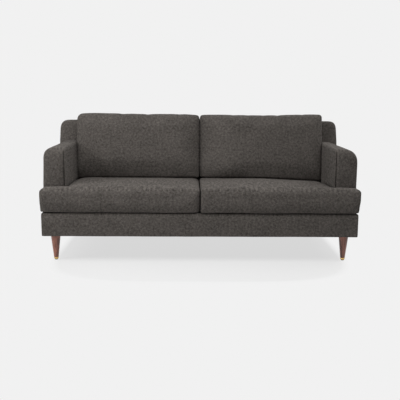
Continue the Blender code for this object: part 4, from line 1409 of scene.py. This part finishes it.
studio = {
    "paper": 0.8796,  # grey of the paper, as light
    "lift": 0.755,  # share of the floor's tone that the shadow leaves alone
    "floor": 0.80,
    "ambient": 0.05,
    "size": 60.0,
    "reach": (0.96, 0.86),  # the shadow's reach; past it the floor is plain paper
    "fade": 0.27,
}
softboxes = {
    "key": {"place": (-2.6, -0.9, 1.6), "aim": (-0.4, 0.0, 0.5), "size": (1.2, 1.2), "power": 26.5},
    "near": {"place": (-0.8, -1.4, 1.6), "aim": (-0.7, 0.1, 0.7), "size": (0.8, 0.6), "power": 9.3},
    "overhead_left": {"place": (-0.9, -0.8, 2.3), "aim": (-0.45, 0, 0.4), "size": (2.0, 1.0), "power": 8.5},
    "overhead_right": {"place": (0.7, -1.2, 2.3), "aim": (0.35, 0, 0.4), "size": (2.0, 1.0), "power": 20.8},
    "rear": {"place": (1.2, 0.8, 2.6), "aim": (0.0, 0.0, 0.45), "size": (1.6, 1.6), "power": 4.1},
    "rear_right": {"place": (2.6, 0.6, 2.6), "aim": (0.0, 0.0, 0.45), "size": (1.6, 1.6), "power": 34.8},
    "behind": {"place": (-0.3, 3.9, 0.95), "aim": (0.0, 0.4, 0.5), "size": (2.6, 1.0), "power": 34.0},
    "low": {"place": (0.6, -3.4, 0.35), "aim": (0.0, 0.0, 0.2), "size": (1.6, 0.6), "power": 3.7},
}


def grey(level):
    return (level, level, level, 1)


def paperShader(tree, paper, plain, outputType):
    # what the camera and mirrors see of the paper, kept apart from the light it gives
    rays = tree.nodes.new("ShaderNodeLightPath")
    seen = calc(tree, "MAXIMUM", rays.outputs["Is Camera Ray"], rays.outputs["Is Glossy Ray"])
    seen = calc(tree, "MAXIMUM", seen, rays.outputs["Is Transmission Ray"])
    mix = tree.nodes.new("ShaderNodeMixShader")
    tree.links.new(plain.outputs[0], mix.inputs[1])
    tree.links.new(paper.outputs[0], mix.inputs[2])
    out = tree.nodes.new(outputType)
    tree.links.new(mix.outputs[0], out.inputs["Surface"])
    return seen, mix


def makeFloor(s):
    bm = bmesh.new()
    bmesh.ops.create_grid(bm, x_segments=1, y_segments=1, size=s["size"] / 2)
    mesh = bpy.data.meshes.new("floor")
    bm.to_mesh(mesh)
    bm.free()
    floor = bpy.data.objects.new("floor", mesh)
    scene.collection.objects.link(floor)
    material, tree, shader = startMaterial("paper_floor")
    tree.nodes.clear()
    plain = tree.nodes.new("ShaderNodeBsdfDiffuse")
    plain.inputs["Color"].default_value = grey(s["floor"])
    glow = tree.nodes.new("ShaderNodeEmission")
    glow.inputs["Color"].default_value = grey(s["paper"])
    seen, mix = paperShader(tree, glow, plain, "ShaderNodeOutputMaterial")
    spot = splitAxes(tree, stretched(tree, objectSpace(tree), (1 / s["reach"][0], 1 / s["reach"][1], 1)))
    fourths = []  # fourth powers make the clear edge follow the sofa's oblong
    for axis in ("X", "Y"):
        square = calc(tree, "MULTIPLY", spot[axis], spot[axis])
        fourths.append(calc(tree, "MULTIPLY", square, square))
    fade = tree.nodes.new("ShaderNodeMapRange")
    fade.interpolation_type = "SMOOTHSTEP"
    wire(tree, fade.inputs["Value"], calc(tree, "ADD", *fourths))
    setInputs(fade, {"From Min": s["fade"], "From Max": 1.0})
    lifted = calc(tree, "MAXIMUM", fade.outputs["Result"], s["lift"])
    tree.links.new(calc(tree, "MULTIPLY", seen, lifted), mix.inputs[0])
    mesh.materials.append(material)


def makeWorld(s):
    world = bpy.data.worlds.new("studio")
    scene.world = world
    world.use_nodes = True
    tree = world.node_tree
    tree.nodes.clear()
    plain = tree.nodes.new("ShaderNodeBackground")
    plain.inputs["Strength"].default_value = s["ambient"]
    paper = tree.nodes.new("ShaderNodeBackground")
    paper.inputs["Color"].default_value = grey(s["paper"])
    seen, mix = paperShader(tree, paper, plain, "ShaderNodeOutputWorld")
    tree.links.new(seen, mix.inputs[0])


def addSoftbox(name, b):
    data = bpy.data.lights.new(name, "AREA")
    data.shape = "RECTANGLE"
    data.size, data.size_y = b["size"]
    data.energy = b["power"]
    lamp = bpy.data.objects.new(name, data)
    scene.collection.objects.link(lamp)
    lamp.location = b["place"]
    lamp.visible_camera = False
    way = Vector(b["aim"]) - Vector(b["place"])
    lamp.rotation_euler = way.to_track_quat("-Z", "Y").to_euler()


makeFloor(studio)
makeWorld(studio)
for name, softbox in softboxes.items():
    addSoftbox(name, softbox)
print("studio set")
